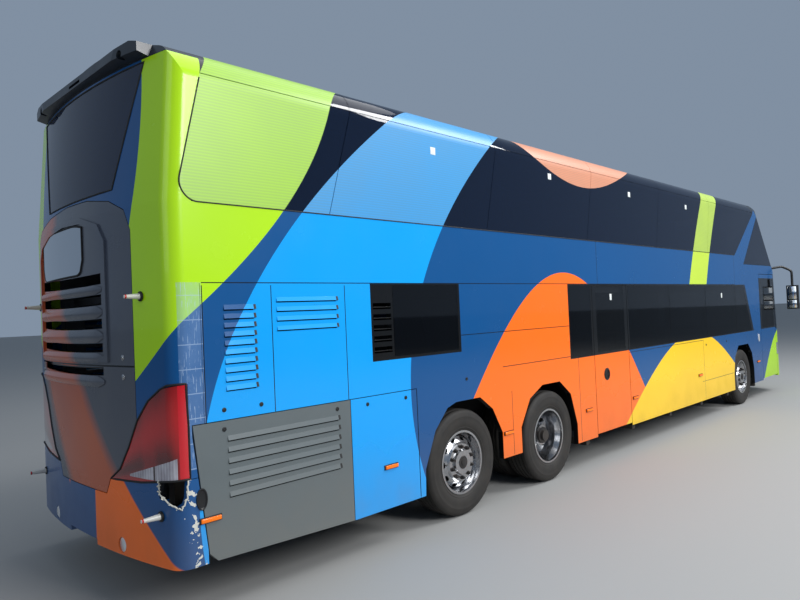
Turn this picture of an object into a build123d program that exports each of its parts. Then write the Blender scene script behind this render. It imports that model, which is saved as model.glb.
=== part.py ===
from build123d import *
import math
import os

# All lengths are in millimetres. The coach faces minus y and its right side is at minus x.
# It is drawn from a zero line fixed behind its front end, then saved with the middle of
# its length over the origin, on the ground.

# Overall size of the body
body_length = 13990.0
body_width = 2550.0
body_height = 4000.0
half_width = body_width / 2
front_end = -6995.0
rear_end = front_end + body_length
far = 2 * body_length

# Axles, counted from the two ends of the body
front_overhang = 2690.0
rear_overhang = 3050.0
tag_spacing = 1550.0
front_axle_y = front_end + front_overhang
tag_axle_y = rear_end - rear_overhang
drive_axle_y = tag_axle_y - tag_spacing

# Wheels and tyres
tyre_radius = 505.0
tyre_width = 300.0
bead_radius = 290.0
wheel_inset = 40.0
twin_gap = 44.0
rim_half_width = 118.0
single_wheel_x = half_width - wheel_inset - tyre_width / 2
twin_inner_x = single_wheel_x - tyre_width - twin_gap
hub_radius = 62.0
kingpin_x = 985.0

# Thicknesses and gaps
wall = 60.0
glass = 12.0
seat_gap = 0.3
pane_joint = 6.0
panel_gap = 6.0
lid_gap = 6.0
lid_split_gap = 12.0
lamp_gap = 4.0
door_gap = 10.0
plan_margin = 0.05
lamp_depth = 45.0
lid_depth = 24.0

# Heights of the body's seams
skirt_z = 328.0
middle_skirt_z = 433.0
rear_skirt_z = 372.0
flap_top_z = 1283.0
deck_z = 2215.0
belt_z = 2757.0
cant_z = body_height - 367

# Roof: a shallow crown that rolls over into the sides
roof_seam_x = 1000.0
roof_drop = 145.0
cant_radius = 260.0
crown_radius = (roof_seam_x ** 2 + roof_drop ** 2) / (2 * roof_drop)

# Plan of the two ends: bowed across, with rounded corners
front_bow = 245.0
front_corner = 400.0
rear_bow = 135.0
rear_corner = 120.0

visor_z = body_height - 240

# How far each end has drawn in at each height: height, draw-in
bumper_top_z = 1300.0
brow_z = 2490.0
brow_draw = 85.0
screen_rake = 0.855
roof_rake = 1.7
above_roof_z = body_height + 20
screen_top_z = body_height - 300
screen_draw = brow_draw + screen_rake * (screen_top_z - brow_z)
front_levels = [
    (bumper_top_z, 0.0),
    (brow_z, brow_draw),
    (screen_top_z, screen_draw),
    (above_roof_z, screen_draw + roof_rake * (above_roof_z - screen_top_z)),
]
rear_draw = 75.0
visor_rake = 0.4
rear_levels = [
    (belt_z, 0.0),
    (visor_z, rear_draw),
    (above_roof_z, rear_draw + visor_rake * (above_roof_z - visor_z)),
]

# Where the side panels stop and the end panels begin
front_seam_y = front_end + 575
rear_seam_y = rear_end - 332


def block(x_low, x_high, y_low, y_high, z_low, z_high):
    size = (x_high - x_low, y_high - y_low, z_high - z_low)
    middle = ((x_low + x_high) / 2, (y_low + y_high) / 2, (z_low + z_high) / 2)
    return Pos(*middle) * Box(*size)


def side_prism(outline, x_low, x_high, radius=0.0):
    """A side outline of (y, z) points, pushed across the coach."""
    face = Face(Wire.make_polygon([Vector(x_low, y, z) for y, z in outline]))
    if radius:
        face = face.fillet_2d(radius, face.vertices())
    return Part() + Solid.extrude(face, Vector(x_high - x_low, 0, 0))


def end_prism(outline, y_low, y_high, grow=0.0):
    """An end outline of (x, z) points, grown all round and pushed along the coach."""
    face = Face(Wire.make_polygon([Vector(x, y_low, z) for x, z in outline]))
    if grow:
        face = offset(face, amount=grow, kind=Kind.INTERSECTION).face()
    return Part() + Solid.extrude(face, Vector(0, y_high - y_low, 0))


def side_slab(outline, thick, radius=0.0, depth=0.0):
    """A side outline as a plate in the right wall, from a depth under its face."""
    return side_prism(outline, -half_width + depth, -half_width + depth + thick, radius)


def rectangle(low, high, bottom, top):
    return [(low, bottom), (high, bottom), (high, top), (low, top)]


def mirrored(shape):
    return mirror(shape, about=Plane.YZ)


def together(shapes):
    shapes = list(shapes)
    return shapes[0] + shapes[1:] if len(shapes) > 1 else shapes[0]


def cut_each(shape, cutters):
    """Cuts taken one after another."""
    for cutter in cutters:
        shape = shape - cutter
    return shape


def save(node, *shapes):
    centred = Location((0, -(front_end + rear_end) / 2, 0))
    solids = [solid.moved(centred) for shape in shapes for solid in shape.solids()]
    export_step(Compound(children=solids), os.path.join("parts", node + ".step"))


def end_plan(inset, sign, bow, corner):
    """One half of the body seen from above, with its bowed end."""
    half = half_width - inset + plan_margin
    tip = (rear_end if sign > 0 else front_end) - sign * inset
    shoulder = tip - sign * bow
    sides = Polyline((half, shoulder), (half, 0), (-half, 0), (-half, shoulder))
    end = ThreePointArc((-half, shoulder), (0, tip), (half, shoulder))
    face = make_face(sides + end).face()
    corners = [v for v in face.vertices() if abs(v.Y - shoulder) < 1]
    return face.fillet_2d(corner, corners) if corner else face


def raked(plan, levels, low_z, sign):
    """The plan stacked through the levels, each draw-in towards the middle."""
    stack = []
    z_from, draw_from = low_z, 0.0
    for z_to, draw_to in levels:
        base = plan.moved(Location((0, -sign * draw_from, z_from)))
        stack.append(Solid.extrude(base, Vector(0, -sign * (draw_to - draw_from), z_to - z_from)))
        z_from, draw_from = z_to, draw_to
    half = block(-far, far, min(0, sign * far), max(0, sign * far), 0, far)
    return (Part() + stack) & half


def section(inset, low_z):
    """The cross-section of the body, pushed along its whole length."""
    half = half_width - inset
    radius = crown_radius - inset
    top = body_height - inset
    shoulder = top - radius + math.sqrt(radius ** 2 - half ** 2)
    sides = Polyline((half, shoulder), (half, low_z), (-half, low_z), (-half, shoulder))
    crown = ThreePointArc((-half, shoulder), (0, top), (half, shoulder))
    face = make_face(sides + crown).face()
    corners = [v for v in face.vertices() if abs(v.Y - shoulder) < 1]
    face = face.fillet_2d(cant_radius - inset, corners)
    face = Plane.XZ * face
    return Part() + Solid.extrude(face.moved(Location((0, far, 0))), Vector(0, -2 * far, 0))


def envelope(inset):
    """The outside of the body, drawn in all round by an inset. Deep insets have square rear corners."""
    low_z = skirt_z if inset == 0 else 0.0
    rear_radius = rear_corner - inset if inset < lid_depth else 0.0
    front = raked(end_plan(inset, -1, front_bow, front_corner - inset), front_levels, low_z, -1)
    rear = raked(end_plan(inset, 1, rear_bow, rear_radius), rear_levels, low_z, 1)
    return (front + rear) & section(inset, low_z - 50)


def screen_seam(z):
    """Where the windscreens stop on the flat of the side, at a height."""
    if z <= brow_z:
        return front_seam_y
    if z <= screen_top_z:
        return front_seam_y + screen_rake * (z - brow_z)
    return front_seam_y + screen_rake * (screen_top_z - brow_z) + roof_rake * (z - screen_top_z)


os.makedirs("parts", exist_ok=True)

outside = envelope(0)
under_glass = envelope(glass)
behind_glass = envelope(glass + seat_gap)
inside = envelope(wall)
room = envelope(wall + seat_gap)

behind_lamp = envelope(lamp_depth)
behind_seat = envelope(lamp_depth + seat_gap)
behind_lid = envelope(lid_depth)
behind_lid_seat = envelope(lid_depth + seat_gap)


def panel(zone):
    """The whole thickness of the body's wall inside a zone."""
    return (outside & zone) - inside


def pane(zone):
    """The outer glass layer of the body inside a zone."""
    return (outside & zone) - under_glass


def frame(zone):
    """The wall behind the glass layer inside a zone."""
    return (behind_glass & zone) - inside


def lens(zone):
    """The outer layer that a lamp or the bumper fills inside a zone."""
    return (outside & zone) - behind_lamp


def seat(zone):
    """The room that such a layer lies in, from outside down to its seat."""
    return zone - behind_seat


def end_surface_y(x):
    """Where the bowed rear end lies at a place across it."""
    return rear_end - rear_bow * (x / half_width) ** 2


# Upper side glass: one band from the slanted front pillar to the rear corner,
# bent over into the roof. Columns: y at the belt, y at the cant line
pillar_foot = (-4170.0, 2220.0)
pillar_head_z = cant_z - 73
pillar_head = (screen_seam(pillar_head_z) + 15, pillar_head_z)
band_rear = (rear_end - 180, rear_end - 395)
band_front = (-4080.0, pillar_head[0] + 190)
band_roof_rear_y = rear_end - 565
band_roof_front_y = band_front[1] + 350
band_top_z = body_height - roof_drop
first_pane = 1292.0
pane_pitch = 2056.0
shortest_pane = 900.0
seam_count = int((band_rear[0] - first_pane - shortest_pane - band_front[0]) // pane_pitch) + 1
seam_feet = [band_rear[0] - first_pane - pane_pitch * n for n in range(seam_count)]
band_seams = [(foot, foot - 170 - 96 * 0.5 ** n) for n, foot in enumerate(seam_feet)]
pillar_half = 32.0
rail = 55.0

band_outline = [
    (band_front[0], belt_z),
    (band_rear[0], belt_z),
    (band_rear[1], cant_z),
    (band_roof_rear_y, band_top_z + 60),
    (band_roof_front_y, band_top_z + 60),
    (band_front[1], cant_z),
]
band_face = Face(Wire.make_polygon([Vector(-half_width - 5, y, z) for y, z in band_outline]))
band_corner = [v for v in band_face.vertices() if v.Y > band_rear[0] - 1]
band_face = band_face.fillet_2d(130, band_corner)
band_zone = (Part() + Solid.extrude(band_face, Vector(half_width + 5 - roof_seam_x, 0, 0)))


def seam_strip(seam, half, bottom, top):
    """A strip that leans with a seam up to the cant line, then stands upright."""
    low, high = seam
    outline = [(low - half, bottom), (low + half, bottom), (high + half, cant_z), (high + half, top),
               (high - half, top), (high - half, cant_z)]
    return side_prism(outline, -half_width - 5, -roof_seam_x + 5)


def upper_glass_right():
    band = pane(band_zone)
    joints = [seam_strip(seam, pane_joint / 2, belt_z - 5, band_top_z + 70) for seam in band_seams]
    cant_joint = (cant_z - pane_joint / 2, cant_z + pane_joint / 2)
    joints.append(block(-half_width - 5, -half_width + 100, -far, far, *cant_joint))
    return band - joints


def band_openings():
    """See-through openings between the pillars, under the glass band."""
    edges = [band_rear] + band_seams + [band_front]
    cuts = []
    for behind, ahead in zip(edges, edges[1:]):
        rear_low = behind[0] - pillar_half
        rear_high = behind[1] - pillar_half
        front_low = ahead[0] + pillar_half
        front_high = ahead[1] + pillar_half
        if behind is band_rear:
            rear_low, rear_high = rear_low - 80, rear_high - 60
        if ahead is band_front:
            front_low, front_high = front_low + 60, front_high + 200
        cuts.append(side_prism([(front_low, belt_z + rail), (rear_low, belt_z + rail),
                                (rear_high, cant_z - rail), (front_high, cant_z - rail)],
                               -half_width - 5, -half_width + 200))
        if ahead is band_front:
            front_high += 200
        if behind is band_rear:
            rear_high -= 120
        cuts.append(side_prism([(front_high, cant_z + 40), (rear_high, cant_z + 40),
                                (rear_high, band_top_z - 20), (front_high, band_top_z - 20)],
                               -half_width - 5, -roof_seam_x - 5))
    return cuts


# The three-cornered pane ahead of the slanted pillar
quarter_low_z = 2600.0
pillar_slope = (pillar_head[0] - pillar_foot[0]) / (pillar_head[1] - pillar_foot[1])


def pillar_front(z):
    return pillar_foot[0] + pillar_slope * (z - pillar_foot[1])


quarter_outline = [
    (screen_seam(quarter_low_z), quarter_low_z),
    (pillar_front(quarter_low_z), quarter_low_z),
    pillar_head,
]
quarter_opening = [
    (screen_seam(quarter_low_z) + 150, quarter_low_z + rail),
    (pillar_front(quarter_low_z) - 130, quarter_low_z + rail),
    (pillar_head[0], pillar_head[1] - 160),
]
front_door_y = (front_seam_y + 3 + door_gap, -5440.0)
front_door_z = (362.0, 2420.0)
middle_door_y = (drive_axle_y - 1975, drive_axle_y - 1035)
middle_door_z = (362.0, deck_z - 3 * panel_gap)
door_header_z = front_door_z[1] + door_gap

upper_wall_outline = [
    (rear_seam_y, deck_z),
    (rear_seam_y, belt_z),
    (band_front[0], belt_z),
    (band_front[1], cant_z),
    (band_roof_front_y, band_top_z + 60),
    (screen_seam(band_top_z + 60), band_top_z + 60),
    (screen_seam(screen_top_z), screen_top_z),
    pillar_head,
    (pillar_front(quarter_low_z), quarter_low_z),
    (screen_seam(quarter_low_z), quarter_low_z),
    (front_seam_y, brow_z),
    (front_seam_y, door_header_z),
    (front_door_y[1] + door_gap, door_header_z),
    (front_door_y[1] + door_gap, deck_z),
]


def upper_wall_right():
    solid_zone = side_prism(upper_wall_outline, -half_width - 5, -roof_seam_x)
    panels = panel(solid_zone)
    frames = frame(band_zone) - band_openings()
    quarter = frame(side_prism(quarter_outline, -half_width - 5, -half_width + 100))
    quarter = quarter - side_prism(quarter_opening, -half_width - 5, -half_width + 100)
    return panels + frames + quarter


def quarter_glass_right():
    inset_outline = [
        (quarter_outline[0][0] + 8, quarter_low_z + 4),
        (quarter_outline[1][0] - 8, quarter_low_z + 4),
        (pillar_head[0], pillar_head[1] - 10),
    ]
    return side_slab(inset_outline, glass)


upper_glass = upper_glass_right() + quarter_glass_right()
upper_wall = upper_wall_right()
save("upper_wall_right", upper_wall)
save("upper_wall_left", mirrored(upper_wall))
save("upper_side_glass", upper_glass, mirrored(upper_glass))


# Front end, from the bumper up to the roof
lower_screen_z = (1300.0, 2440.0)
upper_screen_z = (2620.0, body_height - 220)
bumper_seam_z = 760.0
lamp_z = (770.0, 1010.0)
lamp_inner_x = 640.0
post_width = 90.0


def front_zone(z_low, z_high, back=0.0):
    """All of the body ahead of the windscreens' side seam, between two heights."""
    heights = [z_low] + [z for z in (brow_z, screen_top_z) if z_low < z < z_high] + [z_high]
    back_edge = [(screen_seam(z) + back, z) for z in heights]
    return side_prism([(-far, z_low)] + back_edge + [(-far, z_high)], -far, far)


right_lamp = block(-far, -lamp_inner_x, -far, 0, 0, far)
front_lamp_zones = together([front_zone(*lamp_z) & right_lamp, front_zone(*lamp_z) & mirrored(right_lamp)])
tow_x = 520.0
grille_z = (845.0, 905.0, 965.0)
grille_high = 26.0
bumper_slot_z = (560.0, 590.0)
front_grille = [block(-tow_x, tow_x, -far, front_seam_y, z, z + grille_high) for z in grille_z]

front_bumper = panel(front_zone(skirt_z, bumper_seam_z - 2))
front_bumper -= block(-tow_x - 40, tow_x + 40, -far, front_seam_y, *bumper_slot_z)
nose_panel = panel(front_zone(bumper_seam_z + 2, lower_screen_z[0]))
nose_panel = nose_panel - seat(front_lamp_zones) - front_grille
brow = panel(front_zone(lower_screen_z[1], upper_screen_z[0]))
lower_screen_frame = frame(front_zone(*lower_screen_z))
lower_screen_frame -= front_zone(lower_screen_z[0] + rail, lower_screen_z[1] - rail, -post_width)
upper_screen_frame = frame(front_zone(*upper_screen_z))
upper_screen_frame -= front_zone(upper_screen_z[0] + rail, upper_screen_z[1] - rail, -post_width)
save("front_bumper", front_bumper)
save("front_nose", nose_panel + lower_screen_frame + brow + upper_screen_frame)
save("windscreens",
     pane(front_zone(lower_screen_z[0] + 2, lower_screen_z[1] - 2, -3)),
     pane(front_zone(upper_screen_z[0] + 2, upper_screen_z[1] - 2, -5)))

headlamp = lens(front_zone(lamp_z[0] + 3, lamp_z[1] - 3, -3)) & right_lamp.moved(Location((-3, 0, 0)))
save("headlamps", headlamp, mirrored(headlamp))


# The rear flaps reach back to the tail lamps, past the seam of the side
rear_flap_front_y = rear_end - 1608


flap_corner_y = rear_end - 249
flap_foot_y = rear_end - 340


def flap_corner_outline(grow):
    """The rear flap's slanted rear edge and foot. Grown, it also stands clear of the flap held open."""
    foot = [(flap_foot_y - 60, rear_skirt_z - grow), (flap_foot_y + grow, rear_skirt_z + 60 - grow)]
    upright = [(flap_corner_y + grow, flap_top_z - wall - 10)] if grow else []
    head = [(flap_corner_y + grow, flap_top_z + grow), (rear_seam_y - 300, flap_top_z + grow)]
    return foot + upright + head


# Rear end: glass, two lids one above the other, lamps, bumper and visor
visor_front_y = band_roof_rear_y
rear_panel_outline = [
    (rear_seam_y, rear_skirt_z),
    (rear_seam_y, belt_z),
    (rear_end - 295, belt_z),
    (band_rear[1] - 150, visor_z),
    (far, visor_z),
    (far, rear_skirt_z),
]
rear_zone = side_prism(rear_panel_outline, -far, far)

rear_glass_outline = [(-640, 2905), (640, 2905), (980, visor_z - 18), (-980, visor_z - 18)]
rear_opening_outline = [(-600, 2965), (600, 2965), (890, visor_z - 70), (-890, visor_z - 70)]

lid_split_z = 1675.0
lid_right_x = -860.0
lid_left_x = 1060.0
upper_lid_outline = [
    (lid_right_x, lid_split_z), (lid_right_x, 2600), (-790, 2745), (-590, 2830), (-250, 2880),
    (150, 2888), (600, 2860), (960, 2800), (lid_left_x, 2700), (lid_left_x, lid_split_z),
]
# Inner edge of a tail lamp, from its tip up to the corner of the body: (x, z)
lamp_edge = [(505, 882), (640, 965), (760, 1125), (870, 1310), (1000, 1450), (1130, 1530)]
lid_beside_lamp = [(x - 6, z + 6) for x, z in lamp_edge[:4]]
lower_lid_outline = (
    [(lid_right_x, lid_split_z), (lid_right_x, 1338)]
    + [(-x, z) for x, z in reversed(lid_beside_lamp)]
    + [(-434, 773), (434, 773)]
    + lid_beside_lamp
    + [(985, 1465), (lid_left_x, 1522), (lid_left_x, lid_split_z)]
)
louvre_x = (-450.0, 930.0)
# Columns: height of the gap's top, height of the gap
rear_louvres = [(2300.0, 78.0), (2150.0, 78.0), (1975.0, 72.0), (1800.0, 66.0), (1630.0, 62.0)]

lamp_outline = [(-x, z) for x, z in lamp_edge] + [(-1300, 1560), (-1300, 950), (-900, 905)]
lamp_side_y = rear_end - 220
bumper_outline = [
    (-1300, 0), (1300, 0), (1300, 945), (900, 900), (505, 877), (440, 767),
    (-440, 767), (-505, 877), (-900, 900), (-1300, 945),
]


def lid(outline):
    return (outside & end_prism(outline, rear_seam_y, far)) - behind_lid


def rear_slots(heights):
    """Slanted gaps through a lid, each rising towards the inside."""
    cuts = []
    behind, ahead = rear_end + 105, rear_end - 195
    for top, high in heights:
        outline = [(behind, top - high), (behind, top), (ahead, top + 90), (ahead, top + 90 - high)]
        cuts.append(side_prism(outline, *louvre_x))
    return cuts


# A raised frame round the upper lid's louvres, and the shallow arch of its top edge
lid_raise = 14.0
ring_outer = [
    (-540, 1700), (-540, 2560), (-440, 2690), (-150, 2770), (200, 2785),
    (600, 2755), (900, 2680), (1000, 2560), (1000, 1700),
]
raised = envelope(-lid_raise)
ring_zone = end_prism(ring_outer, rear_seam_y, far) - end_prism(ring_outer, rear_seam_y, far, -46.0)

# The lids close on a lip inside their opening, and the bumper on a panel behind its middle
lid_lip = 25.0
bumper_back_x = 1080.0
bumper_back_z = 480.0
rear_inner_y = visor_front_y - 130
upper_lid_hole = end_prism(upper_lid_outline, rear_seam_y, far, lid_gap)
lower_lid_hole = end_prism(lower_lid_outline, rear_seam_y, far, lid_gap)
lamp_block = end_prism(lamp_outline, lamp_side_y, far)
lamp_hole = end_prism(lamp_outline, lamp_side_y - lamp_gap, far, lamp_gap)
bumper_zone = end_prism(bumper_outline, rear_seam_y + lamp_gap / 2, far)
bumper_hole = end_prism(bumper_outline, rear_seam_y - lamp_gap / 2, far, lamp_gap)
rear_glass_hole = end_prism(rear_opening_outline, rear_inner_y, far)

rear_glass_zone = end_prism(rear_glass_outline, rear_inner_y, far)
bumper_back = block(-bumper_back_x, bumper_back_x, rear_inner_y, far, bumper_back_z, 1200)
flap_clearance = side_prism(flap_corner_outline(panel_gap), -half_width - 5, -half_width + wall + 10)
rear_frame_zone = cut_each(rear_zone, [
    end_prism(upper_lid_outline, rear_inner_y, far, -lid_lip),
    end_prism(lower_lid_outline, rear_inner_y, far, -lid_lip),
    bumper_hole - bumper_back,
    rear_glass_hole,
    band_zone,
    mirrored(band_zone),
    flap_clearance,
    mirrored(flap_clearance),
])
lamp_seats = seat(together([lamp_hole, mirrored(lamp_hole), bumper_hole]))
lid_seats = (upper_lid_hole + lower_lid_hole) - behind_lid_seat
save("rear_frame", panel(rear_frame_zone) - (rear_glass_zone - behind_glass) - lamp_seats - lid_seats)
save("rear_glass", pane(end_prism(rear_glass_outline, rear_inner_y, far, -lamp_gap)))

# The lower lid's edges beside the lamps lean in behind its face, so that it swings out past them
lid_bevel = 0.8
bevel_points = lower_lid_outline[-5:-1]
bevel_y = end_surface_y(bevel_points[0][0])
bevel_edge = [(x, z - lid_bevel * (bevel_y - end_surface_y(x))) for x, z in bevel_points]
bevel_face = Face(Wire.make_polygon(
    [Vector(x, bevel_y, z) for x, z in [(bevel_points[0][0], bumper_seam_z)] + bevel_edge
     + [(half_width, bevel_edge[-1][1]), (half_width, bumper_seam_z)]]))
bevel = Part() + Solid.extrude(bevel_face, Vector(0, -2 * wall, 2 * lid_bevel * wall))

split_low = lid_split_z - lid_split_gap / 2
split_high = lid_split_z + lid_split_gap / 2
upper_lid = lid(upper_lid_outline) - block(-far, far, rear_inner_y, far, 0, split_high)
lower_lid = lid(lower_lid_outline) - block(-far, far, rear_inner_y, far, split_low, far)
upper_lid += (raised & ring_zone) - outside
save("service_lid", upper_lid - rear_slots(rear_louvres[:4]))
save("engine_lid", lower_lid - bevel - mirrored(bevel) - rear_slots(rear_louvres[4:]))

tail_lamp = lens(lamp_block)
save("tail_lamps", tail_lamp, mirrored(tail_lamp))

# A piece has broken out of the bumper under the right lamp. Columns: ahead of the rear end, z
broken_edge = [(205, 940), (195, 830), (165, 755), (115, 790), (70, 870), (60, 960), (195, 960)]
broken_outline = [(rear_end - ahead, z) for ahead, z in broken_edge]
broken_corner = side_prism(broken_outline, -half_width - 5, -half_width + 190)
fog_lamp_x = 630.0
fog_lamp_z = 440.0
fog_radius = 52.0
fog_hole = Rot(90, 0, 0) * Cylinder(fog_radius, 36)
fog_recess = [Pos(x, rear_end - 40, fog_lamp_z) * fog_hole for x in (-fog_lamp_x, fog_lamp_x)]
rear_bumper = lens(bumper_zone & block(-far, far, 0, far, rear_skirt_z, 1500)) - broken_corner
rear_bumper -= block(-260, 260, rear_seam_y, far, 0, rear_skirt_z + 40)
save("rear_bumper", rear_bumper - fog_recess - flap_clearance - mirrored(flap_clearance))

visor_shell = panel(block(-far, far, visor_front_y, far, visor_z + 2, far))
visor_shell = visor_shell - band_zone - mirrored(band_zone)
full_rear = raked(end_plan(0, 1, rear_bow, rear_corner), [(above_roof_z, 0.0)], skirt_z, 1)
full_rear = full_rear & section(0, skirt_z)
# Columns: ahead of the rear end, above the visor's foot
lip_points = [(195, 2), (40, 40), (45, 108), (295, 200), (355, 200)]
lip_half = 1010.0
lip_outline = [(rear_end - ahead, visor_z + up) for ahead, up in lip_points]
visor_lip = (full_rear & side_prism(lip_outline, -lip_half, lip_half)) - inside
visor_slot_z = (visor_z + 55, visor_z + 78)
visor_slot = block(-110, 110, rear_end - 115, far, *visor_slot_z)
visor_oval = Rot(90, 0, 0) * Cylinder(30, 300)
visor_ovals = [Pos(x, rear_end - 95, visor_slot_z[0]) * visor_oval for x in (-800, 800)]
save("rear_visor", (visor_shell + visor_lip) - visor_slot - visor_ovals)


# Roof panel between the side glass, with its front edge above the windscreen
roof_z = (upper_screen_z[1] + 2, body_height + 10)
roof_middle = block(-roof_seam_x, roof_seam_x, front_seam_y, visor_front_y - 2, *roof_z)
roof_front = front_zone(*roof_z) & block(-far, far, -far, front_axle_y, 0, far)
hatch_length = 760.0
hatch_width = 560.0
hatch_y = [front_axle_y + 1705, tag_axle_y - 645]


def hatch_block(y, grow):
    """The room of one roof hatch, grown all round."""
    half_x = hatch_width / 2 + grow
    half_y = hatch_length / 2 + grow
    return block(-half_x, half_x, y - half_y, y + half_y, body_height - 200, body_height + 100)


roof_zone = cut_each(roof_middle + roof_front, [hatch_block(y, -lid_lip) for y in hatch_y])
roof = panel(roof_zone) - band_zone - mirrored(band_zone)
save("roof", cut_each(roof, [seat(hatch_block(y, lamp_gap)) for y in hatch_y]))
save("roof_hatches", *[lens(hatch_block(y, 0)) for y in hatch_y])


# Lower side walls. Wheel arches are cut as bent straight edges, as on the real skirt
# Columns: behind the axle, z
drive_arch = [
    (620, 0), (620, 700), (435, 980), (178, 1100),
    (-187, 1100), (-420, 930), (-545, 560), (-545, 0),
]
tag_arch = [
    (615, 0), (585, 560), (435, 880), (255, 1060), (125, 1100),
    (-245, 1100), (-445, 960), (-595, 700), (-595, 0),
]
front_arch = [
    (-570, 0), (-570, 620), (-480, 920), (-280, 1100),
    (280, 1100), (480, 920), (570, 620), (570, 0),
]
arches = [
    [(axle_y + behind, z) for behind, z in arch]
    for axle_y, arch in ((drive_axle_y, drive_arch), (tag_axle_y, tag_arch), (front_axle_y, front_arch))
]
middle_skirt_y = (drive_axle_y + drive_arch[0][0] - 5, tag_axle_y + tag_arch[-1][0] + 5)
middle_skirt = rectangle(*middle_skirt_y, 0, middle_skirt_z)

# Lower windows. Columns: rear end at the bottom, front end at the bottom, front end at the top
window_z = (1345.0, 2195.0)
window_bar = 10.0
door_pillar = 50.0
window_pitch = 1490.0
shortest_window = 420.0
front_pane = (-4850.0, -4450.0)
first_seam_y = front_pane[0] + 865
band_end_y = drive_axle_y - 470
cab_window = (-5180.0, -6330.0, -6330.0)


def window_row(rear_y):
    """Panes from the slanted front one back to the end of the band."""
    count = int((rear_y - shortest_window - first_seam_y) // window_pitch) + 1
    seams = [first_seam_y + window_pitch * n for n in range(count)]
    row = [(seams[0] - window_bar / 2, *front_pane)]
    for ahead, behind in zip(seams, seams[1:] + [rear_y + window_bar / 2]):
        row.append((behind - window_bar / 2, ahead + window_bar / 2, ahead + window_bar / 2))
    return row


behind_door = middle_door_y[1] + door_pillar
right_windows = [(band_end_y, behind_door, behind_door)] + window_row(middle_door_y[0] - door_pillar)
left_windows = window_row(band_end_y) + [cab_window]
rear_window = (tag_axle_y + 915, tag_axle_y + 45)
rear_window_z = (1590.0, 2200.0)

side_flap_y = (rear_flap_front_y - panel_gap - 769, rear_flap_front_y - panel_gap)
rear_flap_outline = [(rear_flap_front_y, skirt_z)] + flap_corner_outline(0.0)[:-1]
rear_flap_outline.append((rear_flap_front_y, flap_top_z))
side_flap_outline = rectangle(*side_flap_y, skirt_z, flap_top_z)


def window_outline(window, margin=0.0):
    rear, front_low, front_high = window
    low, high = window_z
    return [(rear - margin, low + margin), (rear - margin, high - margin),
            (front_high + margin, high - margin), (front_low + margin, low + margin)]


def slot_row(y_range, heights, high, rise=14.0):
    """Louvre slots through the right wall, each slanting up inside."""
    cuts = []
    for z in heights:
        outline = [(-half_width - 5, z), (-half_width - 5, z + high),
                   (-half_width + wall + 5, z + high + rise), (-half_width + wall + 5, z + rise)]
        cuts.append(end_prism(outline, *y_range))
    return cuts


radiator_slots = slot_row((rear_end - 742, rear_end - 505), [1475 + 61 * n for n in range(10)], 34)
upper_slots = slot_row((rear_end - 1502, rear_end - 938), [1863 + 70 * n for n in range(4)], 26)
flap_slots = slot_row((rear_end - 1478, rear_end - 502), [760 + 75.4 * n for n in range(6)], 28)
vent_slots = slot_row((tag_axle_y + 940, tag_axle_y + 1150), [1630 + 92 * n for n in range(5)], 52)


def flap_hole(outline):
    low_y = min(y for y, z in outline) - panel_gap
    high_y = max(y for y, z in outline) + panel_gap
    return side_slab(rectangle(low_y, high_y, 0, flap_top_z + panel_gap), wall + 10, depth=-5)


def lower_wall(windows, doors):
    side = block(-half_width, -half_width + wall, front_seam_y + 3, rear_seam_y - 3, skirt_z, deck_z)
    if not doors:
        header = (front_seam_y + 3, front_door_y[1] + door_gap, deck_z - 10, door_header_z)
        side += block(-half_width, -half_width + wall, *header)
    cuts = [side_slab(arch, wall + 10, depth=-5) for arch in arches]
    cuts.append(side_slab(middle_skirt, wall + 10, depth=-5))
    cuts += radiator_slots + upper_slots + vent_slots
    for window in windows:
        cuts.append(side_slab(window_outline(window), glass + seat_gap, depth=-0.001))
        cuts.append(side_slab(window_outline(window, rail), wall + 10, depth=-5))
    glass_box = rectangle(rear_window[1], rear_window[0], *rear_window_z)
    opening_y = (rear_window[1] + rail, rear_window[0] - rail)
    opening_z = (rear_window_z[0] + rail, rear_window_z[1] - rail)
    cuts.append(side_slab(glass_box, glass + seat_gap))
    cuts.append(side_slab(rectangle(*opening_y, *opening_z), wall + 10, depth=-5))
    cuts += [flap_hole(rear_flap_outline), flap_hole(side_flap_outline)]
    for y_range, z_range in doors:
        door_hole = rectangle(y_range[0] - door_gap, y_range[1] + door_gap, 0, z_range[1] + door_gap)
        cuts.append(side_slab(door_hole, wall + 10, depth=-5))
    return side - cuts


def lower_glass(windows):
    half_joint = pane_joint / 2
    panes = []
    for window in windows:
        outline = window_outline(window, 1.0)
        rear_y = outline[0][0]
        shrunk = [(y + half_joint if y < rear_y else y - half_joint, z) for y, z in outline]
        panes.append(side_slab(shrunk, glass))
    pane_y = (rear_window[1] + half_joint, rear_window[0] - half_joint)
    pane_z = (rear_window_z[0] + half_joint, rear_window_z[1] - half_joint)
    return panes + [side_slab(rectangle(*pane_y, *pane_z), glass)]


right_doors = [(front_door_y, front_door_z), (middle_door_y, middle_door_z)]
save("lower_wall_right", lower_wall(right_windows, right_doors))
save("lower_wall_left", mirrored(lower_wall(left_windows, [])))
save("lower_side_glass", *lower_glass(right_windows), *[mirrored(pane) for pane in lower_glass(left_windows)])

rear_flap = side_slab(rear_flap_outline, wall) - flap_slots
side_flap = side_slab(side_flap_outline, wall)
save("rear_flap_right", rear_flap)
save("rear_flap_left", mirrored(rear_flap))
save("side_flap_right", side_flap)
save("side_flap_left", mirrored(side_flap))


# Doors: a leaf with a glazed opening, carried by a swinging post with two arms
door_arm_length = 600.0
door_post_x = -(half_width - wall - 70)
door_post_inset = 105.0
door_post_radius = 22.0
door_stile = 90.0
door_kick = 420.0
door_glass_radius = 60.0
arm_high = 40.0


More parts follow.
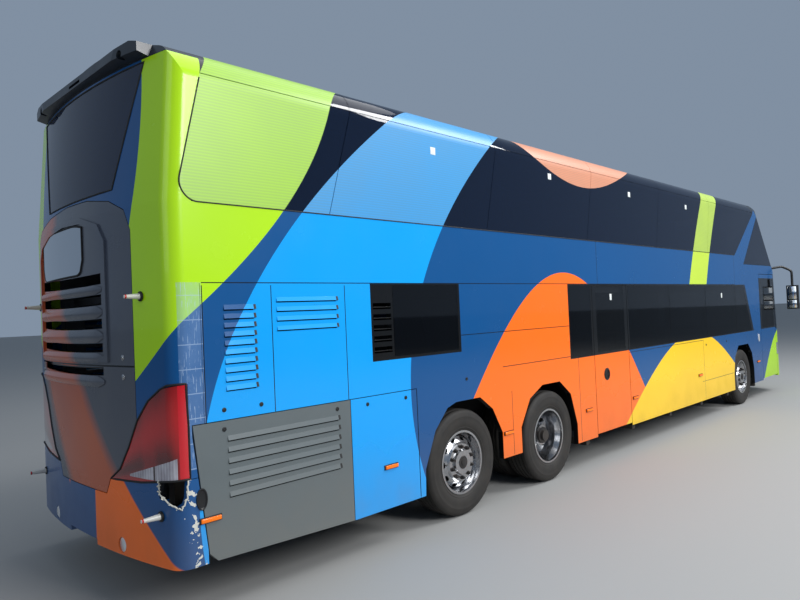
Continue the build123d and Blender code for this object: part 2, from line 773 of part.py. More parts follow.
def door_leaf(y_range, z_range):
    leaf = side_slab(rectangle(*y_range, *z_range), wall)
    low_y, high_y = y_range[0] + door_stile, y_range[1] - door_stile
    low_z, high_z = z_range[0] + door_kick, z_range[1] - door_stile
    leaf -= side_slab(rectangle(low_y, high_y, low_z, high_z), wall + 10, door_glass_radius, depth=-5)
    pane_outline = rectangle(low_y + seat_gap, high_y - seat_gap, low_z + seat_gap, high_z - seat_gap)
    pane = side_slab(pane_outline, glass, door_glass_radius - seat_gap)
    pivot_y = y_range[0] + door_post_inset + door_arm_length
    for z in arm_heights(z_range):
        lug_z = z + arm_high / 2 + 6
        pin_foot_z = z - arm_high / 2
        lug = block(-half_width + wall, door_post_x + 25, pivot_y - 25, pivot_y + 25, lug_z, lug_z + 20)
        pin = Pos(door_post_x, pivot_y, (pin_foot_z + lug_z) / 2) * Cylinder(10, lug_z - pin_foot_z)
        leaf = leaf + lug + pin
    return leaf, pane


def arm_heights(z_range):
    return [z_range[0] + 300, z_range[0] + 1500]


def door_swing(y_range, z_range, foot_z, head_z):
    post_y = y_range[0] + door_post_inset
    post = Pos(door_post_x, post_y, (foot_z + head_z) / 2) * Cylinder(door_post_radius, head_z - foot_z)
    for z in arm_heights(z_range):
        arm_z = (z - arm_high / 2, z + arm_high / 2)
        post += block(door_post_x - 14, door_post_x + 14, post_y, post_y + door_arm_length, *arm_z)
        post += Pos(door_post_x, post_y + door_arm_length, z) * Cylinder(24, arm_high)
        post -= Pos(door_post_x, post_y + door_arm_length, z) * Cylinder(10.3, arm_high + 2)
    return post


# Floors. The lower floor steps up over the front axle and over the two rear axles
floor_z = 400.0
floor_thick = 40.0
front_step = (-4950.0, -3660.0)
front_step_z = 700.0
rear_step_y = drive_axle_y - 755
rear_floor_z = 1160.0
rear_floor_end_y = rear_end - 1665
deck_thick = 60.0

floor_front_y = front_end + 295
floor_top = [
    (floor_front_y, floor_z), (front_step[0], floor_z), (front_step[0], front_step_z),
    (front_step[1], front_step_z), (front_step[1], floor_z), (rear_step_y, floor_z),
    (rear_step_y, rear_floor_z), (rear_floor_end_y, rear_floor_z),
]
# Each corner of the floor's underside lies straight below its top, or one thickness further in
floor_turns = [0, 1, 1, -1, -1, 1, 1, 0]
floor_foot = [(y + floor_thick * turn, z - floor_thick) for (y, z), turn in zip(floor_top, floor_turns)]
lower_floor_outline = floor_top + floor_foot[::-1]
arch_inner_x = 500.0
arch_top_z = 1120.0
front_arch_half = 625.0
stairs_front = (-3450.0, -2350.0)
lower_floor = room & side_prism(lower_floor_outline, -far, far)
arch_cut_half = front_arch_half + 22
for sign in (-1, 1):
    edge = (sign * 2000, sign * (arch_inner_x - 2))
    arch_cut_y = (front_axle_y - arch_cut_half, front_axle_y + arch_cut_half)
    lower_floor -= block(min(edge), max(edge), *arch_cut_y, 0, 2000)
save("lower_floor", lower_floor)

stairwell_x = (250.0, 1100.0)
upper_floor = room & block(-far, far, -6900, rear_end - 415, deck_z - deck_thick, deck_z)
upper_floor -= block(stairwell_x[0], stairwell_x[1], *stairs_front, 0, 3000)
save("upper_floor", upper_floor)

post_top_z = deck_z - deck_thick
for name, y_range, z_range in (
    ("front_door", front_door_y, front_door_z),
    ("middle_door", middle_door_y, middle_door_z),
):
    save(name, *door_leaf(y_range, z_range))
    save(name + "_swing", door_swing(y_range, z_range, floor_z + seat_gap, post_top_z - seat_gap))


# Underframe: two rails that kick up over the axles, tied by cross members
rail_x = 420.0
rail_wide = 80.0
rail_high = 110.0
rail_low_z = floor_z - floor_thick
rail_end_y = (front_end + 435, rear_end - 495)
engine_rail_z = 560.0
kick_y = (front_step[0] + floor_thick, front_step[1] - floor_thick, rear_step_y + floor_thick)
kick_top_z = front_step_z - floor_thick
rear_rail_z = rear_floor_z - floor_thick
engine_kick_y = rear_floor_end_y - 30
rail_outline = [
    (rail_end_y[0], rail_low_z), (kick_y[0], rail_low_z), (kick_y[0], kick_top_z), (kick_y[1], kick_top_z),
    (kick_y[1], rail_low_z), (kick_y[2], rail_low_z), (kick_y[2], rear_rail_z), (engine_kick_y, rear_rail_z),
    (engine_kick_y + 100, engine_rail_z), (rail_end_y[1], engine_rail_z),
    (rail_end_y[1], engine_rail_z - rail_high),
    (engine_kick_y - 10, engine_rail_z - rail_high), (engine_kick_y - rail_high, rear_rail_z - rail_high),
    (kick_y[2] + rail_high, rear_rail_z - rail_high),
    (kick_y[2] + rail_high, rail_low_z - rail_high), (kick_y[1] - rail_high, rail_low_z - rail_high),
    (kick_y[1] - rail_high, kick_top_z - rail_high), (kick_y[0] + rail_high, kick_top_z - rail_high),
    (kick_y[0] + rail_high, rail_low_z - rail_high), (rail_end_y[0], rail_low_z - rail_high),
]
wall_reach = half_width - wall - seat_gap
# Columns: y of the front face, top, reach to each side
cross_wide = 80.0
span = (kick_y[1] + 140, kick_y[2] - 200)
cross_members = [(kick_y[0] - 170, rail_low_z, wall_reach)]
cross_members += [(span[0] + (span[1] - span[0]) * n / 4, rail_low_z, wall_reach) for n in range(5)]
cross_members += [
    ((drive_axle_y + tag_axle_y - cross_wide) / 2, rear_rail_z, 520),
    (rear_floor_end_y - 460, rear_rail_z, wall_reach),
    (rear_floor_end_y + 150, engine_rail_z, wall_reach),
    (rail_end_y[1] - 120, engine_rail_z, 700),
]
underframe = []
for sign in (-1, 1):
    x_low = min(sign * (rail_x - rail_wide / 2), sign * (rail_x + rail_wide / 2))
    underframe.append(side_prism(rail_outline, x_low, x_low + rail_wide))
for y, top, reach in cross_members:
    underframe.append(block(-reach, reach, y, y + cross_wide, top - rail_high, top))
front_cross_y = (rail_end_y[0], rail_end_y[0] + cross_wide)
underframe.append(block(-700, 700, *front_cross_y, rail_low_z - rail_high, rail_low_z))
underframe = together(underframe)

# Towing socket, screwed into from the front through the bumper's hole
tow_radius = 17.0
tow_depth = 90.0
tow_length = 330.0
tow_z = rail_low_z - rail_high / 2
tow_face_y = rail_end_y[0] - tow_length + 80
tow_tube = Pos(tow_x, tow_face_y + tow_length / 2, tow_z) * Rot(90, 0, 0) * Cylinder(38, tow_length)
tow_bore = Pos(tow_x, tow_face_y + tow_depth / 2, tow_z) * Rot(90, 0, 0) * Cylinder(tow_radius, tow_depth)
save("underframe", (underframe + tow_tube) - tow_bore)


# Axles with their air springs, hub spindles and brake drums
def axle_tube(x_low, x_high, y, z, radius):
    return Pos((x_low + x_high) / 2, y, z) * Rot(0, 90, 0) * Cylinder(radius, x_high - x_low)


wheel_z = tyre_radius
spindle_radius = hub_radius - 0.1
spindle_end_x = single_wheel_x + 90

# Half of the drive axle's housing, as (x, radius) from the middle out to the hub
housing_profile = [
    (0, 0), (0, 205), (110, 205), (230, 125), (540, 105), (575, 105), (575, spindle_radius),
    (spindle_end_x, spindle_radius), (spindle_end_x, 0),
]
housing_points = [Vector(x, drive_axle_y + radius, wheel_z) for x, radius in housing_profile]
housing_face = Face(Wire.make_polygon(housing_points))
half_housing = Part() + Solid.revolve(housing_face, 360, Axis((0, drive_axle_y, wheel_z), (1, 0, 0)))
drive_axle = half_housing + mirrored(half_housing)
tag_axle = axle_tube(-820, 820, tag_axle_y, wheel_z, 75)
front_axle = axle_tube(-820, 820, front_axle_y, wheel_z - 60, 60)


def side_block(sign, x_near, x_far, *sides):
    """A block on one side of the coach, between two distances from its middle."""
    return block(min(sign * x_near, sign * x_far), max(sign * x_near, sign * x_far), *sides)


# A yoke at each end of a steered axle holds its knuckle between two ears
yoke_x = (780.0, 850.0)
ear_end_x = 1020.0
fork_half = 100.0
fork_ear = 35.0
fork_outer = fork_half + fork_ear


def yoke(sign, y):
    stem = side_block(sign, *yoke_x, y - 55, y + 55, wheel_z - fork_outer, wheel_z + fork_outer)
    high = side_block(sign, yoke_x[1], ear_end_x, y - 40, y + 40, wheel_z + fork_half, wheel_z + fork_outer)
    low = side_block(sign, yoke_x[1], ear_end_x, y - 40, y + 40, wheel_z - fork_outer, wheel_z - fork_half)
    return [stem, high, low]


spring_top_z = rear_rail_z - rail_high
spring_radius = 38.0
front_spring_x = (340.0, 440.0)
for sign in (-1, 1):
    for y in (drive_axle_y, tag_axle_y):
        middle_z = (wheel_z + spring_top_z) / 2
        spring = Pos(sign * rail_x, y, middle_z) * Cylinder(spring_radius, spring_top_z - wheel_z)
        if y == drive_axle_y:
            drive_axle += spring
        else:
            tag_axle += spring
    front_spring_z = (wheel_z - 60, kick_top_z - rail_high)
    front_axle += side_block(sign, *front_spring_x, front_axle_y - 50, front_axle_y + 50, *front_spring_z)
for sign in (-1, 1):
    front_axle = front_axle + yoke(sign, front_axle_y)
    tag_axle = tag_axle + yoke(sign, tag_axle_y)
save("axles", front_axle, drive_axle, tag_axle)


def knuckle(sign, y):
    """Steering knuckle: a boss between the fork's ears, with the hub spindle."""
    ends = sorted((sign * kingpin_x, sign * spindle_end_x))
    body = Pos(sign * kingpin_x, y, wheel_z) * Cylinder(34, 2 * (fork_half - seat_gap))
    spindle = axle_tube(*ends, y, wheel_z, spindle_radius)
    arm = side_block(sign, kingpin_x - 15, kingpin_x + 15, y, y + 230, wheel_z - 20, wheel_z + 20)
    return body + spindle + arm


for name, y in (("front_knuckle", front_axle_y), ("tag_knuckle", tag_axle_y)):
    save(name + "_right", knuckle(-1, y))
    save(name + "_left", knuckle(1, y))


# Wheels. Profiles are (radius, outward) points turned about the axle
tyre_profile = [
    (bead_radius, -118), (400, -150), (478, -142), (tyre_radius, -112),
    (tyre_radius, 112), (478, 142), (400, 150), (bead_radius, 118),
]
flange_radius = bead_radius + 12
well_radius = 255.0
barrel_profile = [
    (bead_radius - 0.3, -rim_half_width), (flange_radius, -rim_half_width - 4),
    (flange_radius, -rim_half_width - 14), (bead_radius - 8, -rim_half_width - 14),
    (bead_radius - 8, -rim_half_width), (well_radius, -70), (well_radius, 50),
    (bead_radius - 12, rim_half_width - 10), (bead_radius - 8, rim_half_width + 14),
    (flange_radius, rim_half_width + 14), (flange_radius, rim_half_width + 4),
    (bead_radius - 0.3, rim_half_width),
]


def turned(profile, sign, x, y):
    points = [Vector(sign * (x + outward), y + radius, wheel_z) for radius, outward in profile]
    face = Face(Wire.make_polygon(points))
    return Part() + Solid.revolve(face, 360, Axis((0, y, wheel_z), (1, 0, 0)))


# Convex disc of the single wheels: (radius, outward)
single_disc = [
    (256, 30), (240, 62), (190, 96), (175, 118), (120, 118), (112, 140), (hub_radius, 140),
    (hub_radius, 90), (150, 90), (172, 70), (225, 36), (256, 8),
]
# Dished disc of the drive wheels, bolted near the middle of the pair
outer_disc = [
    (256, -20), (246, -60), (200, -130), (175, -148), (118, -148), (110, 40), (hub_radius, 40),
    (hub_radius, -170), (180, -170), (215, -150), (262, -70), (262, -20),
]
# Web of the inner drive wheel
inner_disc = [
    (257, 60), (246, 100), (200, 168), (hub_radius, 174), (hub_radius, 140), (190, 140), (225, 90), (250, 60),
]
hole_count = 10
hole_long = 62.0
hole_wide = 34.0


def hand_holes(sign, x, y, radius, outward):
    cuts = []
    for n in range(hole_count):
        angle = 360 / hole_count * (n + 0.5)
        cutter = Box(120, hole_long, hole_wide)
        corners = cutter.edges().filter_by(Axis.X)
        cutter = chamfer(corners, hole_wide * 0.3)
        cutter = Pos(sign * (x + outward), y, wheel_z) * Rot(angle, 0, 0) * Pos(0, 0, radius) * cutter
        cuts.append(cutter)
    return cuts


def single_wheel(sign, y):
    x = single_wheel_x
    rim = turned(barrel_profile, sign, x, y) + turned(single_disc, sign, x, y)
    rim -= hand_holes(sign, x, y, 222, 50)
    return rim, turned(tyre_profile, sign, x, y)


def twin_wheel(sign, y):
    rim = turned(barrel_profile, sign, single_wheel_x, y) + turned(outer_disc, sign, single_wheel_x, y)
    rim -= hand_holes(sign, single_wheel_x, y, 228, -110)
    inner_barrel = [(radius, -outward) for radius, outward in barrel_profile]
    inner = turned(inner_barrel, sign, twin_inner_x, y) + turned(inner_disc, sign, twin_inner_x, y)
    tyres = [turned(tyre_profile, sign, single_wheel_x, y), turned(tyre_profile, sign, twin_inner_x, y)]
    return [rim, inner], tyres


for side, sign in (("right", -1), ("left", 1)):
    for name, y in (("front", front_axle_y), ("tag", tag_axle_y)):
        rim, tyre = single_wheel(sign, y)
        save(name + "_rim_" + side, rim)
        save(name + "_tyre_" + side, tyre)
    rims, tyres = twin_wheel(sign, drive_axle_y)
    save("drive_rims_" + side, *rims)
    save("drive_tyres_" + side, *tyres)


# Wheel arch liners: a lid, two ends and an upstand on the inside
def liner(y_low, y_high, inner_x, upstand_z, end_low_z):
    outer = half_width - wall - seat_gap
    shape = block(-outer, -inner_x, y_low, y_high, end_low_z, arch_top_z)
    shape -= block(-outer - 5, -inner_x - 18, y_low + 18, y_high - 18, 0, arch_top_z - 18)
    shape -= block(-inner_x - 20, -inner_x + 5, y_low + 18, y_high - 18, 0, upstand_z)
    return shape


front_liner_y = (front_axle_y - front_arch_half - 20, front_axle_y + front_arch_half + 20)
front_liner = liner(*front_liner_y, arch_inner_x, front_step_z, 420)
rear_liner = liner(drive_axle_y - 675, tag_axle_y + 655, 540, 800, 450)
save("arch_liners", front_liner, rear_liner, mirrored(front_liner), mirrored(rear_liner))


# Seats. Profile of one seat facing the front, as (y, z) from the floor under its back
seat_profile = [
    (0, 0), (0, 380), (-20, 400), (-430, 440), (-430, 500),
    (20, 480), (140, 1090), (215, 1090), (120, 400), (120, 0),
]
seat_pitch = 790.0
seat_width = 900.0
aisle_half = 230.0


def seat_pair(sign, y, floor):
    outline = [(y + along, floor + up) for along, up in seat_profile]
    inner = sign * aisle_half
    outer = sign * (aisle_half + seat_width)
    return side_prism(outline, min(inner, outer), max(inner, outer))


rear_row_y = rear_end - 1095
front_row_y = -4500.0
upper_rows = [rear_row_y - seat_pitch * n for n in range(int((rear_row_y - front_row_y) // seat_pitch) + 1)]
upper_seats = []
for n, y in enumerate(upper_rows):
    for sign in (-1, 1):
        if sign == 1 and stairs_front[0] - 150 < y < stairs_front[1] + 450:
            continue
        upper_seats.append(seat_pair(sign, y, deck_z))
save("upper_seats", *upper_seats)

# Lower rows stand between the front axle and the middle door, and on the raised floor behind
lower_pitch = 950.0
first_rows = {-1: -3000.0, 1: -1100.0}
last_row_y = middle_door_y[0] - 240
lower_seats = []
for sign, first_y in first_rows.items():
    for n in range(int((last_row_y - first_y) // lower_pitch) + 1):
        lower_seats.append(seat_pair(sign, first_y + lower_pitch * n, floor_z))
low_profile = [
    (0, 0), (0, 300), (-400, 320), (-400, 380), (20, 370), (110, 880), (180, 880), (110, 300), (110, 0),
]
for y in (drive_axle_y + 205, rear_floor_end_y - 830):
    outline = [(y + along, rear_floor_z + up) for along, up in low_profile]
    seat_right = side_prism(outline, -aisle_half - seat_width, -aisle_half)
    lower_seats += [seat_right, mirrored(seat_right)]
driver_x = 640.0
driver_y = -5650.0
driver_half = 260.0
driver_outline = [(driver_y + along, floor_z + up) for along, up in seat_profile]
lower_seats.append(side_prism(driver_outline, driver_x - driver_half, driver_x + driver_half))
save("lower_seats", *lower_seats)


# Stairs up to the deck, a block of treads
tread_count = 8
stairs = []
rise = (deck_z - floor_z) / (tread_count + 1)
for n in range(tread_count):
    run = (stairs_front[1] - stairs_front[0]) / tread_count
    y = stairs_front[1] - run * (n + 1)
    low = floor_z if n == 0 else floor_z + rise * n - 60
    stair_x = (stairwell_x[0] + 20, stairwell_x[1] - 20)
    stairs.append(block(*stair_x, y, y + run, low, floor_z + rise * (n + 1)))
save("staircase", together(stairs))


# Driver's desk and steering wheel
desk_outline = [
    (-6850, 1290), (-6480, 1290), (-6380, 1180), (-6330, 1180), (-6330, 900), (-6700, 400), (-6850, 400),
]
desk = room & side_prism(desk_outline, 100, 1190)
wheel_tilt = 28.0
column_radius = 22.0
column_length = 400.0
steer_centre = (driver_x, -6180.0, 1230.0)
steer_place = Pos(*steer_centre) * Rot(-wheel_tilt, 0, 0)
wheel_rim = steer_place * Torus(225, 16)
wheel_hub = steer_place * Cylinder(55, 40)
spokes = [steer_place * Rot(0, 0, a) * Pos(120, 0, 0) * Box(210, 40, 14) for a in (90, 210, 330)]
column = steer_place * Pos(0, 0, -column_length / 2) * Cylinder(column_radius, column_length)
column_hole = Cylinder(column_radius + seat_gap, column_length + 2 * seat_gap)
desk -= steer_place * Pos(0, 0, -column_length / 2) * column_hole
save("dashboard", desk)
save("steering_wheel", together([wheel_rim, wheel_hub, column] + spokes))


# Engine, one plain block on the rear rails
engine_half = 450.0
engine_y = (rear_end - 1435, rear_end - 515)
engine_top_z = 1520.0
save("engine_block", block(-engine_half, engine_half, *engine_y, engine_rail_z + seat_gap, engine_top_z))


# Mirrors on arms from the brow, and the marker lamps on stalks at the rear
mirror_x = 1500.0
mirror_front_y = -7030.0


def side_mirror():
    housing = block(-mirror_x - 110, -mirror_x + 110, mirror_front_y, mirror_front_y + 160, 1690, 2190)
    housing = fillet(housing.edges().filter_by(Axis.Z), 50)
    path = FilletPolyline((-1080, -6650, 2555), (-1330, -6900, 2600), (-mirror_x, mirror_front_y + 80, 2500),
                          (-mirror_x, mirror_front_y + 80, 2180), radius=90)
    arm = sweep(Plane(origin=path @ 0, z_dir=path % 0) * Circle(24), path=path)
    return (housing + arm) - outside


mirror_right = side_mirror()
save("mirrors", mirror_right, mirrored(mirror_right))

# Columns: x, z
stalks = [(-960.0, 2145.0), (-1100.0, 705.0), (1110.0, 2145.0), (1100.0, 705.0)]
stalk_reach = 35.0
stalk_root = 30.0


def stalk(x, z):
    root_y = end_surface_y(x) - stalk_root
    tip_y = rear_end + stalk_reach
    cone = Pos(x, (root_y + tip_y) / 2, z) * Rot(-90, 0, 0) * Cone(24, 12, tip_y - root_y)
    return cone - outside


save("marker_lamps", *[stalk(x, z) for x, z in stalks])
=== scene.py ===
import bpy
from math import atan2, cos, pi, radians, sin, sqrt
from mathutils import Matrix, Vector


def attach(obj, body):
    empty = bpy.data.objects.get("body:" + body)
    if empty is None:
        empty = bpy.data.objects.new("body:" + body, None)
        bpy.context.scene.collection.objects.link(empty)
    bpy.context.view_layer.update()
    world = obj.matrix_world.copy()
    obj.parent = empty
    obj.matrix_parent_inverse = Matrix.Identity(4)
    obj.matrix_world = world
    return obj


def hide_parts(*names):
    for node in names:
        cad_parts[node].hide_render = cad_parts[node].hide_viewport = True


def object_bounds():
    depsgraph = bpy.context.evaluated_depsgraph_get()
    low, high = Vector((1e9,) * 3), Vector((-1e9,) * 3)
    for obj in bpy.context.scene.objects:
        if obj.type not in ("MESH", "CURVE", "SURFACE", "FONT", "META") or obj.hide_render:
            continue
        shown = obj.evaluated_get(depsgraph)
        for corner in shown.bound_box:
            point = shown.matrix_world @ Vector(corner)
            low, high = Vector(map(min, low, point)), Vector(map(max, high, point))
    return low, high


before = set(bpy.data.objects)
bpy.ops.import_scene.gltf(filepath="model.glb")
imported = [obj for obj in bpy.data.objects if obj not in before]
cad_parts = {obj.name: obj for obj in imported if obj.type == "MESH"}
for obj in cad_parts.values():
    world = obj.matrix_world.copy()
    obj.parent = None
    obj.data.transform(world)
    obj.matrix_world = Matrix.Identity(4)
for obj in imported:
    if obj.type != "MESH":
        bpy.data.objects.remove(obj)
cad_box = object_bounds()


# The painted shell: pressed panels and moulded ends over a steel frame, sprayed deep blue under
# clear lacquer. Swept bands and waves of cut vinyl in lime, sky blue, orange and yellow lie over it.
def calculate(tree, operation, *terms):
    step = tree.nodes.new("ShaderNodeMath")
    step.operation = operation
    for socket, term in zip(step.inputs, terms):
        if isinstance(term, (int, float)):
            socket.default_value = term
        else:
            tree.links.new(term, socket)
    return step.outputs[0]


def blend_colours(tree, share, under, over):
    mixed = tree.nodes.new("ShaderNodeMix")
    mixed.data_type = "RGBA"
    for socket, term in zip((mixed.inputs[0], mixed.inputs[6], mixed.inputs[7]), (share, under, over)):
        if isinstance(term, (int, float, tuple)):
            socket.default_value = term
        else:
            tree.links.new(term, socket)
    return mixed.outputs[2]


side_x = 1.275


def place_of(tree):
    """The point's x, y and z, how far it is from the middle, and how far back along the skin."""
    split = tree.nodes.new("ShaderNodeSeparateXYZ")
    place = tree.nodes.new("ShaderNodeTexCoord")
    tree.links.new(place.outputs["Object"], split.inputs[0])
    x, y, z = split.outputs
    across = calculate(tree, "ABSOLUTE", x)
    along = calculate(tree, "ADD", y, calculate(tree, "SUBTRACT", side_x, across))
    return x, y, z, across, along


def both(tree, first, second):
    return calculate(tree, "MULTIPLY", first, second)


def either(tree, first, second):
    return calculate(tree, "MAXIMUM", first, second)


def inside_range(tree, value, low, high):
    above = calculate(tree, "GREATER_THAN", value, low)
    return both(tree, above, calculate(tree, "LESS_THAN", value, high))


def swept_edge(tree, height, foot, belt, top):
    """Where a band's edge lies along the coach, bent through its places at 0, 2 and 4 m up."""
    slope = (4 * belt - 3 * foot - top) / 4
    bend = (foot - 2 * belt + top) / 8
    lean = calculate(tree, "MULTIPLY_ADD", height, bend, slope)
    return calculate(tree, "MULTIPLY_ADD", height, lean, foot)


def linear(red, green, blue):
    """A colour on the 0 to 255 scale as the shader's linear colour."""
    return tuple((value / 255) ** 2.2 for value in (red, green, blue)) + (1.0,)


def noise(tree, scale, stretch=(1, 1, 1), detail=3.0):
    """Fine mottling over the piece, stretched along an axis."""
    place = tree.nodes.new("ShaderNodeTexCoord")
    spread = tree.nodes.new("ShaderNodeMapping")
    spread.inputs["Scale"].default_value = stretch
    tree.links.new(place.outputs["Object"], spread.inputs["Vector"])
    grain = tree.nodes.new("ShaderNodeTexNoise")
    grain.inputs["Scale"].default_value = scale
    grain.inputs["Detail"].default_value = detail
    tree.links.new(spread.outputs[0], grain.inputs["Vector"])
    return grain.outputs["Fac"]


def bump(tree, height, strength, distance):
    relief = tree.nodes.new("ShaderNodeBump")
    relief.inputs["Strength"].default_value = strength
    relief.inputs["Distance"].default_value = distance
    tree.links.new(height, relief.inputs["Height"])
    return relief.outputs[0]


def new_finish(name, roughness=0.5, metallic=0.0, coat=0.0, colour=(0.5, 0.5, 0.5, 1.0)):
    finish = bpy.data.materials.new(name)
    finish.use_nodes = True
    tree = finish.node_tree
    shader = tree.nodes["Principled BSDF"]
    shader.inputs["Base Color"].default_value = colour
    shader.inputs["Roughness"].default_value = roughness
    shader.inputs["Metallic"].default_value = metallic
    shader.inputs["Coat Weight"].default_value = coat
    shader.inputs["Coat Roughness"].default_value = 0.04
    return finish, tree, shader


deep_blue = linear(0, 78, 134)
sky_blue = linear(0, 158, 240)
lime = linear(176, 228, 0)
orange = linear(255, 112, 0)
yellow = linear(255, 206, 0)
salmon = linear(246, 150, 112)
pale_lime = linear(198, 228, 60)
slate = linear(58, 68, 86)
copper = linear(196, 92, 44)
# Black for the window bands and seams, and also the painted shade in recesses, slot walls and gaps.
black_and_shade = linear(12, 13, 15)

# Columns: colour, rear edge at 0, 2 and 4 m up, front edge at 0, 2 and 4 m up, lowest
sweeps = [
    (lime, (9.5, 7.65, 7.2), (10.5, 6.75, 5.4), 0.0),
    (sky_blue, (6.6, 6.35, 4.3), (4.3, 4.55, 2.9), 0.0),
    (pale_lime, (-1.3, -1.75, -2.75), (-2.1, -2.5, -3.45), 1.9),
]
# Columns: colour, rear end, front end, foot of the wave, how far it rises or hangs
waves = [
    (orange, 4.42, -0.4, 0.3, 2.05),
    (yellow, 0.75, -4.6, 0.25, 1.2),
    (lime, -5.35, -8.4, 0.2, 1.15),
    (salmon, 3.05, -0.1, 3.87, -0.46),
]
livery_top = 3.86
bumper_top = 0.96


def clamped(tree, value):
    return calculate(tree, "MINIMUM", calculate(tree, "MAXIMUM", value, 0.0), 1.0)


def tail_sweep(tree, x, z, softness):
    """The warm sweep that runs down the tail from the upper left to the lower right."""
    right_edge = swept_edge(tree, z, -1.75, 0.14, 0.2)
    left_edge = swept_edge(tree, z, -0.45, 1.3, 2.5)
    from_right = calculate(tree, "DIVIDE", calculate(tree, "SUBTRACT", x, right_edge), softness)
    from_left = calculate(tree, "DIVIDE", calculate(tree, "SUBTRACT", left_edge, x), softness)
    return both(tree, clamped(tree, from_right), clamped(tree, from_left))


def livery_group():
    """The whole colour scheme as one node group, with where the vinyl bands lie."""
    tree = bpy.data.node_groups.new("livery", "ShaderNodeTree")
    tree.interface.new_socket("Colour", in_out="OUTPUT", socket_type="NodeSocketColor")
    tree.interface.new_socket("Band", in_out="OUTPUT", socket_type="NodeSocketFloat")
    out = tree.nodes.new("NodeGroupOutput")
    x, y, z, across, along = place_of(tree)
    colour = deep_blue
    covered = 0.0
    for shade, rear, front, low in sweeps:
        behind = calculate(tree, "LESS_THAN", along, swept_edge(tree, z, *rear))
        ahead = calculate(tree, "GREATER_THAN", along, swept_edge(tree, z, *front))
        mask = both(tree, both(tree, behind, ahead), inside_range(tree, z, low, livery_top))
        colour = blend_colours(tree, mask, colour, shade)
        covered = either(tree, covered, mask)
    for shade, rear, front, foot, rise in waves:
        pace = pi / (rear - front)
        swing = calculate(tree, "SINE", calculate(tree, "MULTIPLY_ADD", along, pace, -pace * front))
        crest = calculate(tree, "MULTIPLY_ADD", swing, rise, foot)
        side = "LESS_THAN" if rise > 0 else "GREATER_THAN"
        mask = both(tree, inside_range(tree, along, front, rear), calculate(tree, side, z, crest))
        mask = both(tree, mask, calculate(tree, "LESS_THAN", z, livery_top))
        colour = blend_colours(tree, mask, colour, shade)
        covered = either(tree, covered, mask)
    # The foot of the tail's warm sweep lies on the bumper's corner.
    tail = calculate(tree, "GREATER_THAN", calculate(tree, "MULTIPLY_ADD", across, 0.28, y), 7.06)
    corner = both(tree, tail, calculate(tree, "LESS_THAN", z, bumper_top))
    colour = blend_colours(tree, both(tree, tail_sweep(tree, x, z, 0.02), corner), colour, orange)
    tree.links.new(colour, out.inputs["Colour"])
    tree.links.new(covered, out.inputs["Band"])
    return tree


livery = livery_group()


def livery_in(tree):
    use = tree.nodes.new("ShaderNodeGroup")
    use.node_tree = livery
    return use.outputs["Colour"], use.outputs["Band"]


# The bowed rear skin: its middle, how far its sides lie forwards of that, and how far it leans
# forwards for each metre above the foot of the upper glass.
rear_y = 6.995
rear_bow = 0.135
rear_lean = 0.0748
glass_foot = 2.757


def rear_depth(tree, x, y, z):
    """How deep the point lies under the bowed face of the rear end."""
    squared = calculate(tree, "MULTIPLY", x, x)
    bowed = calculate(tree, "MULTIPLY_ADD", squared, -rear_bow / side_x ** 2, rear_y)
    above = calculate(tree, "MAXIMUM", calculate(tree, "SUBTRACT", z, glass_foot), 0.0)
    face = calculate(tree, "MULTIPLY_ADD", above, -rear_lean, bowed)
    return calculate(tree, "SUBTRACT", face, y)


seam_half = 0.0035
# Panel seams on the flat sides. Columns: measured up or along, at, from, to
seams = [
    ("up", 1.723, 1.94, 3.96), ("up", 1.362, 1.4, 3.3), ("up", 1.3, -2.3, 0.4),
    ("up", 0.635, -3.7, -2.2), ("up", 2.218, -4.0, 6.65), ("along", 6.648, 0.35, 2.2),
    ("along", 6.1, 1.29, 2.2), ("along", 5.4, 1.29, 2.2), ("along", 4.607, 0.34, 1.28),
    ("along", 3.16, 0.44, 1.1), ("along", 1.76, 0.34, 1.36), ("along", -2.3, 0.34, 1.3),
    ("along", -4.0, 2.22, 2.757), ("along", 1.2, 2.22, 2.757),
]


def seam_lines(tree, y, z):
    drawn = 0.0
    for run, at, start, end in seams:
        level, other = (z, y) if run == "up" else (y, z)
        line = calculate(tree, "COMPARE", level, at, seam_half)
        drawn = either(tree, drawn, both(tree, line, inside_range(tree, other, start, end)))
    return drawn


# Patches of the side. Columns: front, rear, foot, head
lower_band = (-5.0, 1.94, 1.33, 2.214)
rear_pane = (3.955, 5.12, 1.565, 2.214)
door_band = (-6.42, -5.42, 1.335, 2.345)
door_panes = [(-6.317, -5.53, 1.36, 2.33), (0.51, 1.27, 1.36, 2.33)]
scored_strip = (6.652, 6.82, 1.0, 2.22)
# How far from the middle the bands, seams, panes and skin begin, and the lining and rear walls end.
band_x, seam_x, pane_x, skin_x = 1.25, 1.27, 1.262, 1.2725
lining_x, rear_wall_x, lid_edge_x = 1.2155, 1.21, 1.09
cant_z = 3.6


def on_patch(tree, y, z, patch):
    front, rear, foot, head = patch
    return both(tree, inside_range(tree, y, front, rear), inside_range(tree, z, foot, head))


def window_black(tree, x, y, z, across):
    """The black bands round the lower side glass and the front door's window."""
    slanted_front = calculate(tree, "MULTIPLY_ADD", z, 0.47, -5.6)
    side = both(tree, on_patch(tree, y, z, lower_band), calculate(tree, "GREATER_THAN", y, slanted_front))
    door = both(tree, on_patch(tree, y, z, door_band), calculate(tree, "LESS_THAN", x, 0.0))
    black = either(tree, either(tree, side, on_patch(tree, y, z, rear_pane)), door)
    return both(tree, black, calculate(tree, "GREATER_THAN", across, band_x))


